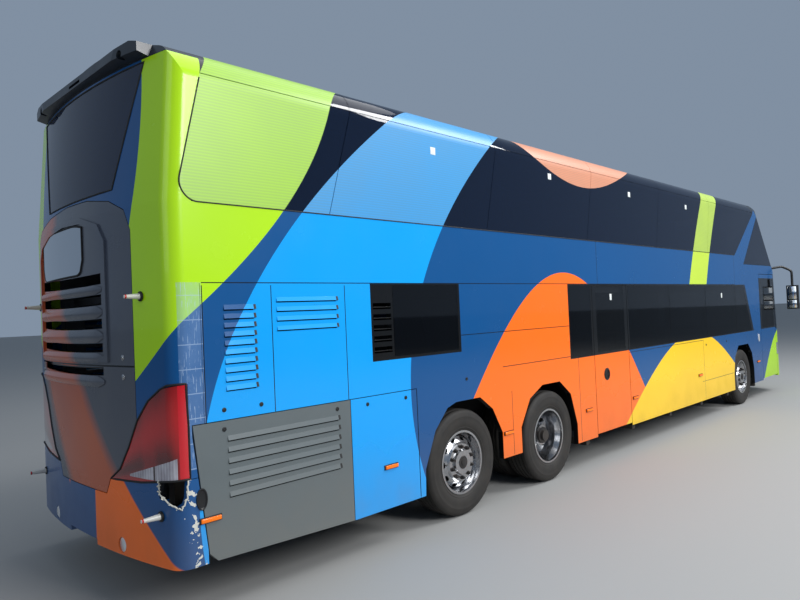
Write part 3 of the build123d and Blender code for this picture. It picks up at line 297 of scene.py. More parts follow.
def weathered(tree, x, y, z, colour):
    """Film residue, scoring and level rungs on the strip behind the right rear flap."""
    strip = both(tree, on_patch(tree, y, z, scored_strip), calculate(tree, "LESS_THAN", x, -1.2))
    film = both(tree, strip, noise(tree, 5.0, stretch=(1.0, 1.0, 0.5), detail=5.0))
    colour = blend_colours(tree, calculate(tree, "MULTIPLY", film, 0.55), colour, linear(120, 150, 190))
    streak = noise(tree, 14.0, stretch=(6.0, 9.0, 0.7), detail=6.0)
    wave = calculate(tree, "SINE", calculate(tree, "MULTIPLY", z, 39.0))
    marks = either(tree, calculate(tree, "GREATER_THAN", streak, 0.61),
                   calculate(tree, "GREATER_THAN", wave, 0.993))
    scored = calculate(tree, "MULTIPLY", both(tree, marks, strip), 0.45)
    return blend_colours(tree, scored, colour, linear(170, 190, 214))


def flaked_paint(tree, x, y, z):
    """Where the paint is off the broken bumper corner, most of it along the flap's edge."""
    speck = noise(tree, 30.0, detail=6.0)
    flap_edge = calculate(tree, "MULTIPLY_ADD", z, 0.107, 6.685)
    near = calculate(tree, "ABSOLUTE", calculate(tree, "SUBTRACT", y, flap_edge))
    flaked = calculate(tree, "GREATER_THAN", calculate(tree, "MULTIPLY_ADD", near, -2.6, speck), 0.53)
    corner = both(tree, calculate(tree, "LESS_THAN", x, -1.08), calculate(tree, "LESS_THAN", z, 0.98))
    return both(tree, both(tree, flaked, corner), calculate(tree, "GREATER_THAN", y, 6.66))


# The upper side glass: the line of its rear edge, and its rounded lower rear corner.
glass_rear_y, glass_rear_lean = 7.4916, 0.2454
corner_radius = 0.13
corner_y, corner_z = 6.649, glass_foot + corner_radius


def behind_glass(tree, y, z, across):
    """The black shell behind the upper side glass, which stops short of its rounded corner."""
    front = calculate(tree, "MULTIPLY_ADD", z, -1.3927, -0.2404)
    rear = calculate(tree, "MULTIPLY_ADD", z, -glass_rear_lean, glass_rear_y)
    behind = both(tree, inside_range(tree, z, glass_foot + 0.0005, 3.852), inside_range(tree, y, front, rear))
    past = calculate(tree, "MAXIMUM", calculate(tree, "SUBTRACT", y, corner_y), 0.0)
    below = calculate(tree, "MAXIMUM", calculate(tree, "SUBTRACT", corner_z, z), 0.0)
    reach = calculate(tree, "ADD", both(tree, past, past), both(tree, below, below))
    behind = both(tree, behind, calculate(tree, "LESS_THAN", reach, (corner_radius - 0.002) ** 2))
    return both(tree, behind, calculate(tree, "GREATER_THAN", across, 1.001))


def lid_gap_shade(tree, x, y, z, across):
    """Painted shade: black on the sides of the louvres and of the gaps round the rear lids."""
    deep = rear_depth(tree, x, y, z)
    between = calculate(tree, "LESS_THAN", across, lid_edge_x)
    gaps = both(tree, inside_range(tree, deep, 0.006, 0.5), between)
    inner = calculate(tree, "LESS_THAN", across, rear_wall_x)
    walls = both(tree, calculate(tree, "GREATER_THAN", deep, 0.04), inner)
    lids = both(tree, inside_range(tree, z, 0.8, 2.9), calculate(tree, "GREATER_THAN", y, 6.6))
    return both(tree, either(tree, gaps, walls), lids)


def shell_paint(name, glazed=False, tail=False):
    """Lacquered paint outside, black window bands, grey lining inside, and painted shade in black
    on the edges of the openings and in the gaps round the rear lids.
    """
    paint, tree, shader = new_finish(name, 0.28, coat=0.3)
    shader.inputs["Specular IOR Level"].default_value = 0.3
    x, y, z, across, along = place_of(tree)
    dust = noise(tree, 3.0, detail=6.0)
    if tail:
        cloud = noise(tree, 1.6, stretch=(1.0, 1.0, 0.6), detail=4.0)
        colour = blend_colours(tree, calculate(tree, "MULTIPLY", cloud, 0.6), slate, linear(108, 108, 106))
        warm = both(tree, tail_sweep(tree, x, z, 0.16), calculate(tree, "MULTIPLY_ADD", cloud, 0.5, 0.55))
        colour = blend_colours(tree, clamped(tree, warm), colour, copper)
    else:
        colour = livery_in(tree)[0]
    patchy = noise(tree, 0.55, detail=4.0)
    colour = blend_colours(tree, calculate(tree, "MULTIPLY", patchy, 0.16), colour, linear(20, 40, 70))
    low = calculate(tree, "MULTIPLY_ADD", z, -0.75, 0.72)
    grime = calculate(tree, "MULTIPLY", calculate(tree, "MAXIMUM", low, 0.02), dust)
    colour = blend_colours(tree, calculate(tree, "MULTIPLY", grime, 0.9), colour, linear(110, 98, 82))
    colour = weathered(tree, x, y, z, colour)
    flaked = flaked_paint(tree, x, y, z)
    colour = blend_colours(tree, flaked, colour, linear(200, 200, 190))

    drawn = both(tree, seam_lines(tree, y, z), calculate(tree, "GREATER_THAN", across, seam_x))
    flat_side = both(tree, inside_range(tree, y, -6.35, 6.70), calculate(tree, "LESS_THAN", z, cant_z))
    # Painted shade: the edges of the openings and the sunk faces on the flat sides are black, where shade
    # falls.
    sunk = both(tree, flat_side, calculate(tree, "LESS_THAN", across, skin_x))
    black = either(tree, either(tree, window_black(tree, x, y, z, across), drawn), sunk)
    black = either(tree, black, behind_glass(tree, y, z, across))
    # Painted shade in the louvres and in the gaps round the lids.
    black = either(tree, black, lid_gap_shade(tree, x, y, z, across))
    colour = blend_colours(tree, black, colour, black_and_shade)
    lining = both(tree, flat_side, calculate(tree, "LESS_THAN", across, lining_x))
    colour = blend_colours(tree, lining, colour, linear(96, 100, 106))
    tree.links.new(colour, shader.inputs["Base Color"])

    rough = calculate(tree, "MULTIPLY_ADD", dust, 0.12, 0.18)
    rough = calculate(tree, "ADD", rough, calculate(tree, "MULTIPLY", flaked, 0.35))
    rough = calculate(tree, "ADD", rough, grime)
    if glazed:
        pane = either(tree, *[on_patch(tree, y, z, patch) for patch in door_panes])
        pane = both(tree, pane, calculate(tree, "GREATER_THAN", across, pane_x))
        rough = calculate(tree, "MULTIPLY", rough, calculate(tree, "MULTIPLY_ADD", pane, -0.85, 1.0))
        tree.links.new(calculate(tree, "MULTIPLY_ADD", pane, -0.22, 1.0), shader.inputs["Alpha"])
    tree.links.new(rough, shader.inputs["Roughness"])
    ridge = calculate(tree, "MULTIPLY_ADD", drawn, -4.0, noise(tree, 1.4, detail=1.0))
    tree.links.new(bump(tree, ridge, 0.12, 0.01), shader.inputs["Normal"])
    return paint


def dress(node, finish):
    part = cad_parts[node]
    part.data.materials.clear()
    part.data.materials.append(finish)


coach_paint = shell_paint("coach_paint")
door_paint = shell_paint("door_paint", glazed=True)
lid_paint = shell_paint("lid_paint", tail=True)
for node in (
    "upper_wall_right", "upper_wall_left", "lower_wall_right", "lower_wall_left", "roof", "front_nose",
    "front_bumper", "rear_frame", "rear_bumper", "side_flap_right", "side_flap_left",
):
    dress(node, coach_paint)
dress("service_lid", lid_paint)
dress("engine_lid", lid_paint)
dress("front_door", door_paint)
dress("middle_door", door_paint)


# The grey rear flaps and the dark visor: sheet and moulding in a satin paint of their own,
# dusty towards the road, with painted shade in black on the walls of the slots.
def darkened(shade, share):
    return tuple(share * value for value in shade[:3]) + (1.0,)


def plain_paint(name, shade, roughness):
    paint, tree, shader = new_finish(name, roughness, coat=0.15)
    x, y, z, across, along = place_of(tree)
    dust = noise(tree, 5.0, detail=6.0)
    colour = blend_colours(tree, calculate(tree, "MULTIPLY", dust, 0.45), shade, darkened(shade, 0.55))
    low = calculate(tree, "MAXIMUM", calculate(tree, "MULTIPLY_ADD", z, -0.6, 0.55), 0.0)
    colour = blend_colours(tree, both(tree, low, dust), colour, linear(140, 132, 118))
    # Painted shade: the walls of the slots are black.
    slot_wall_shade = both(tree, inside_range(tree, across, 1.2, skin_x), inside_range(tree, y, 5.4, 6.6))
    colour = blend_colours(tree, slot_wall_shade, colour, black_and_shade)
    tree.links.new(colour, shader.inputs["Base Color"])
    tree.links.new(calculate(tree, "MULTIPLY_ADD", dust, 0.25, roughness - 0.1), shader.inputs["Roughness"])
    tree.links.new(bump(tree, noise(tree, 60.0), 0.05, 0.002), shader.inputs["Normal"])
    return paint


flap_grey = plain_paint("flap_grey", linear(92, 100, 102), 0.42)
visor_grey = plain_paint("visor_grey", linear(38, 44, 52), 0.35)
dress("rear_flap_right", flap_grey)
dress("rear_flap_left", flap_grey)
dress("rear_visor", visor_grey)


# The glass: dark tinted panes bonded to the frames. Where a vinyl band runs over the upper
# panes it is a perforated film, paler than the paint and drawn in fine level lines.
film_pitch = 0.021


def tinted_glass(name, shade, filmed, see_through):
    glass, tree, shader = new_finish(name, 0.035)
    shader.inputs["IOR"].default_value = 1.5
    smear = noise(tree, 2.2, detail=5.0)
    rough = calculate(tree, "MULTIPLY_ADD", smear, 0.05, 0.01)
    if filmed:
        z = place_of(tree)[2]
        band_colour, band = livery_in(tree)
        lines = calculate(tree, "SINE", calculate(tree, "MULTIPLY", z, 2 * pi / film_pitch))
        ribs = calculate(tree, "MULTIPLY_ADD", lines, 0.08, 0.34)
        wash = calculate(tree, "ADD", ribs, calculate(tree, "MULTIPLY", smear, 0.16))
        film = blend_colours(tree, wash, band_colour, linear(96, 116, 104))
        tree.links.new(blend_colours(tree, band, shade, film), shader.inputs["Base Color"])
        rough = calculate(tree, "MULTIPLY_ADD", band, 0.34, rough)
        alpha = calculate(tree, "MULTIPLY_ADD", band, see_through, 1.0 - see_through)
        tree.links.new(alpha, shader.inputs["Alpha"])
    else:
        shader.inputs["Base Color"].default_value = shade
        shader.inputs["Alpha"].default_value = 1.0 - see_through
    tree.links.new(rough, shader.inputs["Roughness"])
    tree.links.new(bump(tree, noise(tree, 1.1, detail=0.0), 0.05, 0.01), shader.inputs["Normal"])
    return glass


band_glass = tinted_glass("band_glass", linear(10, 24, 44), True, 0.14)
cabin_glass = tinted_glass("cabin_glass", linear(6, 9, 14), False, 0.16)
screen_glass = tinted_glass("screen_glass", linear(16, 24, 30), False, 0.5)
rear_glass = tinted_glass("rear_window_glass", linear(8, 28, 56), False, 0.1)
dress("upper_side_glass", band_glass)
dress("lower_side_glass", cabin_glass)
dress("windscreens", screen_glass)
dress("rear_glass", rear_glass)


# Tail lamps: one moulded red lens wrapped round each corner. Its curved blades inside are darker red
# with painted highlights; it has painted highlights in soft patches, a brighter band down the side
# that is painted light where the side faces the light, and a clear reversing window low in the middle.
tail_red, tree, shader = new_finish("tail_red", 0.07, coat=1.0)
x, y, z, across, along = place_of(tree)
tip_along, tip_z = 7.80, 0.86
forwards = calculate(tree, "SUBTRACT", tip_along, along)
upwards = calculate(tree, "SUBTRACT", z, tip_z)
turn = calculate(tree, "ARCTAN2", upwards, forwards)
squares = calculate(tree, "ADD", both(tree, upwards, upwards), both(tree, forwards, forwards))
reach = calculate(tree, "MULTIPLY", calculate(tree, "SQRT", squares), 2.6)
curve = calculate(tree, "MULTIPLY_ADD", turn, 11.0, reach)
# The curved blades, drawn as bands of darker red and painted highlight.
petals_and_highlights = calculate(tree, "MULTIPLY_ADD", calculate(tree, "SINE", curve), 0.5, 0.5)
colour = blend_colours(tree, petals_and_highlights, linear(84, 0, 6), linear(170, 0, 14))
# Painted highlights: soft patches of brighter red on the lens.
patches = noise(tree, 3.0, stretch=(1, 1, 0.4))
painted_highlight_patches = clamped(tree, calculate(tree, "MULTIPLY_ADD", patches, 3.0, -1.3))
colour = blend_colours(tree, calculate(tree, "MULTIPLY", painted_highlight_patches, 0.6), colour, linear(196, 2, 16))
# Painted light: the lens is brighter red where it turns onto the side, which faces the light.
lit_side_band = calculate(tree, "LESS_THAN", along, 6.855)
colour = blend_colours(tree, lit_side_band, colour, linear(200, 0, 30))
window_top = calculate(tree, "MULTIPLY_ADD", along, -0.24, 2.735)
clear = both(tree, inside_range(tree, z, 0.93, window_top), inside_range(tree, along, 6.875, 7.46))
facets = calculate(tree, "SINE", calculate(tree, "MULTIPLY", along, 190.0))
mottle = noise(tree, 16.0, stretch=(1, 1, 0.5), detail=2.0)
clear_shade = blend_colours(tree, calculate(tree, "MULTIPLY_ADD", facets, 0.12, mottle),
                            linear(206, 206, 214), linear(96, 84, 96))
clear_shade = blend_colours(tree, inside_range(tree, along, 7.13, 7.15), clear_shade, linear(40, 10, 16))
colour = blend_colours(tree, clear, colour, clear_shade)
tree.links.new(colour, shader.inputs["Base Color"])
blades = calculate(tree, "ADD", petals_and_highlights, calculate(tree, "MULTIPLY", facets, 0.3))
tree.links.new(bump(tree, blades, 0.04, 0.004), shader.inputs["Normal"])
dress("tail_lamps", tail_red)


# Bare working parts below: chassis rails, axles and knuckles in black chassis paint with road
# dirt, black plastic arch liners, and the iron engine.
def work_finish(name, shade, roughness, metallic=0.0, dust=linear(88, 78, 66)):
    coat, tree, shader = new_finish(name, roughness, metallic)
    dirt = noise(tree, 9.0, detail=6.0)
    colour = blend_colours(tree, calculate(tree, "MULTIPLY", dirt, 0.5), shade, dust)
    tree.links.new(colour, shader.inputs["Base Color"])
    tree.links.new(bump(tree, noise(tree, 45.0), 0.2, 0.003), shader.inputs["Normal"])
    return coat


chassis_black = work_finish("chassis_black", linear(30, 31, 33), 0.6)
liner_black = work_finish("liner_black", linear(14, 14, 15), 0.8, dust=linear(46, 42, 38))
engine_iron = work_finish("engine_iron", linear(58, 58, 58), 0.55, 0.6)
for node in (
    "underframe", "axles", "front_knuckle_right", "front_knuckle_left",
    "tag_knuckle_right", "tag_knuckle_left",
):
    dress(node, chassis_black)
dress("arch_liners", liner_black)
dress("engine_block", engine_iron)


# Cabin: vinyl floors and stairs, a moulded grey desk, black wheel and door arms, and the pale roof
# hatches. Each is plastic with a fine speckled grain.
def moulded(name, shade, roughness, grain):
    plastic, tree, shader = new_finish(name, roughness, colour=shade)
    speck = noise(tree, grain, detail=4.0)
    colour = blend_colours(tree, calculate(tree, "MULTIPLY", speck, 0.35), shade, darkened(shade, 0.6))
    tree.links.new(colour, shader.inputs["Base Color"])
    tree.links.new(bump(tree, speck, 0.15, 0.002), shader.inputs["Normal"])
    return plastic


floor_vinyl = moulded("floor_vinyl", linear(74, 78, 86), 0.55, 120.0)
desk_plastic = moulded("desk_plastic", linear(70, 73, 78), 0.5, 180.0)
black_plastic = moulded("black_plastic", linear(18, 19, 21), 0.4, 160.0)
hatch_plastic = moulded("hatch_plastic", linear(205, 210, 214), 0.4, 90.0)
for node, finish in (
    ("lower_floor", floor_vinyl), ("upper_floor", floor_vinyl), ("staircase", floor_vinyl),
    ("dashboard", desk_plastic), ("steering_wheel", black_plastic), ("front_door_swing", black_plastic),
    ("middle_door_swing", black_plastic), ("mirrors", black_plastic), ("roof_hatches", hatch_plastic),
):
    dress(node, finish)


# Wheels: polished forged discs with ten nuts on a ring round the hub, a pressed hub cap and a
# tyre valve. They carry a fine brownish mottle of tarnish and brake dust, duller in places.
def primitive(adder, name, **settings):
    """A primitive on its own, with nothing else selected."""
    bpy.ops.object.select_all(action="DESELECT")
    adder(**settings)
    piece = bpy.context.active_object
    piece.name = name
    return piece


def choose(piece):
    bpy.ops.object.select_all(action="DESELECT")
    piece.select_set(True)
    bpy.context.view_layer.objects.active = piece


def settle(piece):
    """Its place, turn and size go into its mesh."""
    choose(piece)
    bpy.ops.object.transform_apply(location=True, rotation=True, scale=True)
    return piece


def soften(piece, width, segments=2, angle=40):
    """Rounds the sharp edges by a small width."""
    choose(piece)
    edge = piece.modifiers.new("rounding", "BEVEL")
    edge.width = width
    edge.segments = segments
    edge.limit_method = "ANGLE"
    edge.angle_limit = radians(angle)
    bpy.ops.object.modifier_apply(modifier=edge.name)
    return piece


def slab(name, low, high, rounding=0.003, segments=2):
    """A block between two corners with rounded edges."""
    size = [b - a for a, b in zip(low, high)]
    middle = [(a + b) / 2 for a, b in zip(low, high)]
    piece = primitive(bpy.ops.mesh.primitive_cube_add, name, size=1, location=middle, scale=size)
    return soften(settle(piece), rounding, segments)


def drum(name, at, radius, depth, turn=(0, 0, 0), sides=24, rounding=0.002):
    """A short round piece with rounded rims, standing along z unless it is turned."""
    piece = primitive(bpy.ops.mesh.primitive_cylinder_add, name, vertices=sides, radius=radius, depth=depth,
                      location=at, rotation=[radians(angle) for angle in turn])
    return soften(settle(piece), rounding)


def copied(piece, name, matrix):
    twin = piece.copy()
    twin.data = piece.data.copy()
    twin.name = name
    bpy.context.collection.objects.link(twin)
    twin.data.transform(matrix)
    if matrix.determinant() < 0:
        twin.data.flip_normals()
    return twin


def joined(name, *pieces):
    bpy.ops.object.select_all(action="DESELECT")
    for piece in pieces:
        piece.select_set(True)
    bpy.context.view_layer.objects.active = pieces[0]
    if len(pieces) > 1:
        bpy.ops.object.join()
    pieces[0].name = name
    return pieces[0]


def fitted(piece, body, finish):
    """Takes its finish, smooth shading and the body that it rides on."""
    piece.data.materials.clear()
    piece.data.materials.append(finish)
    choose(piece)
    bpy.ops.object.shade_smooth_by_angle(angle=radians(35))
    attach(piece, body)
    return piece


def discard(*pieces):
    for piece in pieces:
        bpy.data.objects.remove(piece)


def lathe(name, profile, steps):
    """A closed outline of (radius, outward) turned about the axle."""
    outline = bpy.data.meshes.new(name)
    count = len(profile)
    outline.from_pydata([(outward, radius, 0) for radius, outward in profile],
                        [(n, (n + 1) % count) for n in range(count)], [])
    piece = bpy.data.objects.new(name, outline)
    bpy.context.collection.objects.link(piece)
    choose(piece)
    bpy.ops.object.mode_set(mode="EDIT")
    bpy.ops.mesh.select_all(action="SELECT")
    bpy.ops.mesh.spin(steps=steps, angle=2 * pi, center=(0, 0, 0), axis=(1, 0, 0))
    bpy.ops.mesh.select_all(action="SELECT")
    bpy.ops.mesh.remove_doubles(threshold=0.0002)
    bpy.ops.mesh.normals_make_consistent(inside=False)
    bpy.ops.object.mode_set(mode="OBJECT")
    return piece


polished, tree, shader = new_finish("polished_alloy", 0.2, 1.0, colour=linear(214, 216, 218))
tarnish = noise(tree, 60.0, detail=4.0)
tarnish_share = calculate(tree, "MULTIPLY", tarnish, 0.6)
alloy_shade = blend_colours(tree, tarnish_share, linear(196, 198, 202), linear(104, 98, 90))
tree.links.new(alloy_shade, shader.inputs["Base Color"])
tree.links.new(calculate(tree, "MULTIPLY_ADD", tarnish, 0.2, 0.1), shader.inputs["Roughness"])
hub_steel = work_finish("hub_steel", linear(70, 70, 72), 0.35, 0.8)
for node in (
    "front_rim_right", "front_rim_left", "tag_rim_right", "tag_rim_left",
    "drive_rims_right", "drive_rims_left",
):
    dress(node, polished)

sides = (("right", -1), ("left", 1))
sideways = (0, 90, 0)
wheel_z = 0.505
single_x = 1.085
twin_x = 0.741
nut_ring = 0.1475
nut_count = 10
# Columns: piece, how far out its middle stands, radius, depth, corners, rounding
nut_pieces = [
    ("flange", 0.003, 0.0205, 0.006, 16, 0.001), ("nut", 0.015, 0.0165, 0.02, 6, 0.0015),
    ("stud", 0.029, 0.0085, 0.01, 10, 0.001),
]


def nut_set(name, face_x):
    """Ten flanged nuts on their studs, on a ring round the hub."""
    pieces = []
    for piece, outward, radius, depth, corners, rounding in nut_pieces:
        at = (face_x + outward, 0, nut_ring)
        pieces.append(drum(piece, at, radius, depth, sideways, corners, rounding))
    first = joined(name, *pieces)
    ring = [first]
    for n in range(1, nut_count):
        ring.append(copied(first, "nut_copy", Matrix.Rotation(2 * pi * n / nut_count, 4, "X")))
    return joined(name, *ring)


def hub_cap(name, rings):
    """A pressed cap in two steps. Columns: how far out, radius, depth, corners, rounding"""
    pieces = [drum("cap", (outward, 0, 0), radius, depth, sideways, corners, rounding)
              for outward, radius, depth, corners, rounding in rings]
    return joined(name, *pieces)


stem = drum("valve_stem", (0.03, 0, 0), 0.005, 0.07, sideways, 10, 0.001)
single_set = (
    nut_set("single_nuts", 0.118),
    hub_cap("single_cap", [(0.134, 0.060, 0.024, 40, 0.005), (0.148, 0.034, 0.01, 32, 0.003)]),
    copied(stem, "single_valve", Matrix.Translation((0.045, 0.205, 0))),
)
drive_set = (
    nut_set("drive_nuts", -0.148),
    hub_cap("drive_cap", [(0.048, 0.094, 0.02, 40, 0.005), (0.062, 0.052, 0.014, 32, 0.004)]),
    copied(stem, "drive_valve", Matrix.Translation((-0.15, 0.205, 0))),
)
discard(stem)
# Columns: axle, where it lies along, plural ending of its names, fittings
axle_places = (
    ("front", -4.305, "", single_set), ("tag", 3.945, "", single_set), ("drive", 2.395, "s", drive_set),
)


def wheel_place(sign, axle_y, wheel_x=single_x):
    turn = Matrix.Scale(sign, 4, (1, 0, 0))
    return Matrix.Translation((sign * wheel_x, axle_y, wheel_z)) @ turn


for side, sign in sides:
    for axle, axle_y, plural, fittings in axle_places:
        for fitting, piece in zip(("nuts", "hub_cap", "valve"), fittings):
            own = copied(piece, f"{axle}_{fitting}_{side}", wheel_place(sign, axle_y))
            fitted(own, f"{axle}_wheel{plural}_{side}", hub_steel)
discard(*single_set, *drive_set)


# Tyres: moulded black rubber with four grooves round the tread, notched shoulders and ribs on
# the walls, seated on the rims.
tyre_rubber, tree, shader = new_finish("tyre_rubber", 0.72)
scuff = calculate(tree, "MULTIPLY", noise(tree, 7.0, detail=6.0), 0.42)
rubber_shade = blend_colours(tree, scuff, linear(22, 22, 23), linear(74, 68, 60))
tree.links.new(rubber_shade, shader.inputs["Base Color"])
tree.links.new(bump(tree, noise(tree, 70.0), 0.15, 0.002), shader.inputs["Normal"])

groove_half = 0.006
groove_foot = 0.490
tread_top = 0.505
half_profile = [
    (0.2905, 0.117), (0.300, 0.124), (0.322, 0.134), (0.330, 0.1395), (0.336, 0.1385), (0.342, 0.1415),
    (0.372, 0.1475), (0.400, 0.1495), (0.424, 0.1485), (0.430, 0.1497), (0.438, 0.1497), (0.444, 0.1478),
    (0.466, 0.1445), (0.482, 0.1385), (0.494, 0.128), (0.502, 0.113), (tread_top, 0.098),
]
for groove_x in (0.070, 0.024):
    half_profile += [
        (tread_top, groove_x + groove_half), (groove_foot, groove_x + groove_half * 0.6),
        (groove_foot, groove_x - groove_half * 0.6), (tread_top, groove_x - groove_half),
    ]
tyre_outline = half_profile + [(radius, -outward) for radius, outward in reversed(half_profile)]
tyre_steps = 96
notch_radius = 0.495
notch_x = (0.085, 0.12)
notch_margin, notch_depth = 0.0015, 0.008


def sink(piece, wanted, *insets):
    """Insets the wanted faces once for each pair of how far in and how far out."""
    choose(piece)
    bpy.ops.object.mode_set(mode="EDIT")
    bpy.ops.mesh.select_all(action="DESELECT")
    bpy.ops.object.mode_set(mode="OBJECT")
    for face in piece.data.polygons:
        face.select = wanted(face)
    bpy.ops.object.mode_set(mode="EDIT")
    for inward, outward in insets:
        bpy.ops.mesh.inset(thickness=inward, depth=outward)
    bpy.ops.object.mode_set(mode="OBJECT")
    return piece


def is_notch(face):
    """Every second step round the shoulders of the tread."""
    radius = sqrt(face.center.y ** 2 + face.center.z ** 2)
    step = int((atan2(face.center.z, face.center.y) + 2 * pi) / (2 * pi / tyre_steps))
    return radius > notch_radius and notch_x[0] < abs(face.center.x) < notch_x[1] and step % 2 == 0


tyre = sink(lathe("tyre", tyre_outline, tyre_steps), is_notch, (notch_margin, -notch_depth))
for side, sign in sides:
    for axle, axle_y, plural, fittings in axle_places:
        rings = [copied(tyre, "ring", wheel_place(sign, axle_y))]
        if axle == "drive":
            rings.append(copied(tyre, "ring", wheel_place(sign, axle_y, twin_x)))
        node = f"{axle}_tyre{plural}_{side}"
        rubber = fitted(joined(node + "_rubber", *rings), f"{axle}_wheel{plural}_{side}", tyre_rubber)
        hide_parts(node)
discard(tyre)


# Rear lids: broad crowned slats, pointed at one end, between louvre gaps painted black as shade,
# a bright polished panel above them in a black seal, and round locks.
facing_back = (90, 0, 0)
end_corner_from = 1.165
end_corner_x, end_corner_y = 1.155, 6.766
end_corner_radius = 0.12


def end_face(x, z):
    """The place of the bowed rear skin at a point across it, round the corner too."""
    reach = min(abs(x), side_x)
    if reach > end_corner_from:
        face = end_corner_y + sqrt(max(end_corner_radius ** 2 - (reach - end_corner_x) ** 2, 0.0))
    else:
        face = rear_y - rear_bow * (reach / side_x) ** 2
    return face - rear_lean * max(0.0, z - glass_foot)


def skin_strip(name, x_range, low_edge, high_edge, swell, lift, thick=0.005, columns=28, rows=8):
    """A sheet that follows the bowed rear skin between two edges, swelling out in the middle."""
    piece = primitive(bpy.ops.mesh.primitive_grid_add, name, x_subdivisions=columns, y_subdivisions=rows,
                      size=2)
    settle(piece)
    for knot in piece.data.vertices:
        share = (knot.co.x + 1) / 2
        up = knot.co.y
        x = x_range[0] + (x_range[1] - x_range[0]) * share
        low, high = low_edge(x), high_edge(x)
        z = (low + high) / 2 + up * (high - low) / 2
        knot.co = (x, end_face(x, z) + lift + swell * (1 - up ** 2) * min(1.0, 12 * share), z)
    choose(piece)
    bpy.ops.object.mode_set(mode="EDIT")
    bpy.ops.mesh.select_all(action="SELECT")
    bpy.ops.mesh.normals_make_consistent(inside=False)
    bpy.ops.object.mode_set(mode="OBJECT")
    skin = piece.modifiers.new("thickness", "SOLIDIFY")
    skin.thickness = thick
    skin.offset = 0
    bpy.ops.object.modifier_apply(modifier=skin.name)
    return piece


slat_x = (-0.47, 0.945)
# Columns: body, foot and head of the slat
slats = [
    ("service_lid", 2.190, 2.252), ("service_lid", 2.015, 2.102), ("service_lid", 1.840, 1.933),
    ("service_lid", 1.694, 1.764), ("engine_lid", 1.520, 1.598),
]
def slat_edge(middle, edge):
    """The height of one edge of a slat, drawn in to the middle at its pointed end."""
    return lambda x: middle + (edge - middle) * min(1.0, 0.3 + (x - slat_x[0]) / 0.12)


blades = {}
for body, foot, head in slats:
    middle = (foot + head) / 2
    strip = skin_strip("slat", slat_x, slat_edge(middle, foot), slat_edge(middle, head), 0.016, 0.004)
    blades.setdefault(body, []).append(strip)
for body, strips in blades.items():
    fitted(joined(body + "_slats", *strips), body, lid_paint)

bright_panel, tree, shader = new_finish("bright_panel", 0.1, 1.0, colour=linear(186, 192, 198))
haze = noise(tree, 3.0, detail=5.0)
tree.links.new(calculate(tree, "MULTIPLY_ADD", haze, 0.12, 0.02), shader.inputs["Roughness"])
tree.links.new(bump(tree, noise(tree, 4.0, detail=1.0), 0.15, 0.01), shader.inputs["Normal"])
rubber_black = moulded("rubber_black", linear(13, 13, 14), 0.65, 140.0)
panel_x = (-0.17, 0.84)
panel_round = 0.11
panel_low, panel_high = 2.352, 2.715


def panel_foot(x):
    """Its bottom edge, rounded up at both corners."""
    inward = min(x - panel_x[0], panel_x[1] - x)
    short = max(0.0, panel_round - inward)
    return panel_low + panel_round - sqrt(max(panel_round ** 2 - short ** 2, 0.0))


def panel_head(x):
    """Its top edge, which falls away towards both ends."""
    return panel_high - 0.42 * max(0.0, x - 0.45) ** 2 - 0.5 * max(0.0, 0.05 - x) ** 2


def bead(name, points, radius, closed=False):
    """A round strip along a line of points."""
    line = bpy.data.curves.new(name, "CURVE")
    line.dimensions = "3D"
    run = line.splines.new("POLY")
    run.points.add(len(points) - 1)
    for knot, point in zip(run.points, points):
        knot.co = (*point, 1)
    run.use_cyclic_u = closed
    line.bevel_depth = radius
    line.bevel_resolution = 2
    line.use_fill_caps = True
    strip = bpy.data.objects.new(name, line)
    bpy.context.collection.objects.link(strip)
    choose(strip)
    bpy.ops.object.convert(target="MESH")
    return bpy.context.active_object


def on_skin(points, lift=0.0):
    return [(x, end_face(x, z) + lift, z) for x, z in points]


panel = skin_strip("lid_bright_panel", panel_x, panel_foot, panel_head, 0.0, 0.006, 0.006)
fitted(panel, "service_lid", bright_panel)
spread = [panel_x[0] + (panel_x[1] - panel_x[0]) * n / 24 for n in range(25)]
panel_edge = [(x, panel_foot(x) - 0.006) for x in spread]
panel_edge += [(x, panel_head(x) + 0.008) for x in reversed(spread)]
panel_seal = bead("lid_panel_seal", on_skin(panel_edge, 0.004), 0.008, True)
fitted(panel_seal, "service_lid", rubber_black)


def lock(x, z):
    """A round keyed lock in a flat collar."""
    y = end_face(x, z)
    collar = drum("collar", (x, y, z), 0.021, 0.008, facing_back, 28, 0.002)
    barrel = drum("barrel", (x, y + 0.004, z), 0.012, 0.008, facing_back, 20, 0.001)
    key_slot = slab("key", (x - 0.0015, y + 0.006, z - 0.007), (x + 0.0015, y + 0.0095, z + 0.007), 0.0005)
    return joined("lock", collar, barrel, key_slot)


# Columns: lid, where its two locks are across and how far up they are
for lid, lock_x, lock_z in (("service_lid", (-0.72, 1.03), 1.735), ("engine_lid", (-0.72, 1.0), 1.60)):
    locks = [lock(x, lock_z) for x in lock_x]
    fitted(joined(lid + "_locks", *locks), lid, polished)


# Rear seals and lamps: black rubber round the window and the tail lamps, a red strip in the
# visor's slot, round reflectors in the bumper, lenses on the ends of the stalks, and a seal on each
# side along the foot of the upper glass, round its rear corner and up its rear edge.
window_edge = [(-0.632, 2.909), (0.632, 2.909), (0.972, 3.738), (-0.972, 3.738)]


def stepped(points, count=10):
    """The same closed line with its runs divided, so that it can follow the bowed skin."""
    line = []
    for one, two in zip(points, points[1:] + points[:1]):
        for n in range(count):
            line.append(tuple(a + (b - a) * n / count for a, b in zip(one, two)))
    return line


window_seal = bead("rear_window_seal", on_skin(stepped(window_edge)), 0.007, True)
fitted(window_seal, "body", rubber_black)
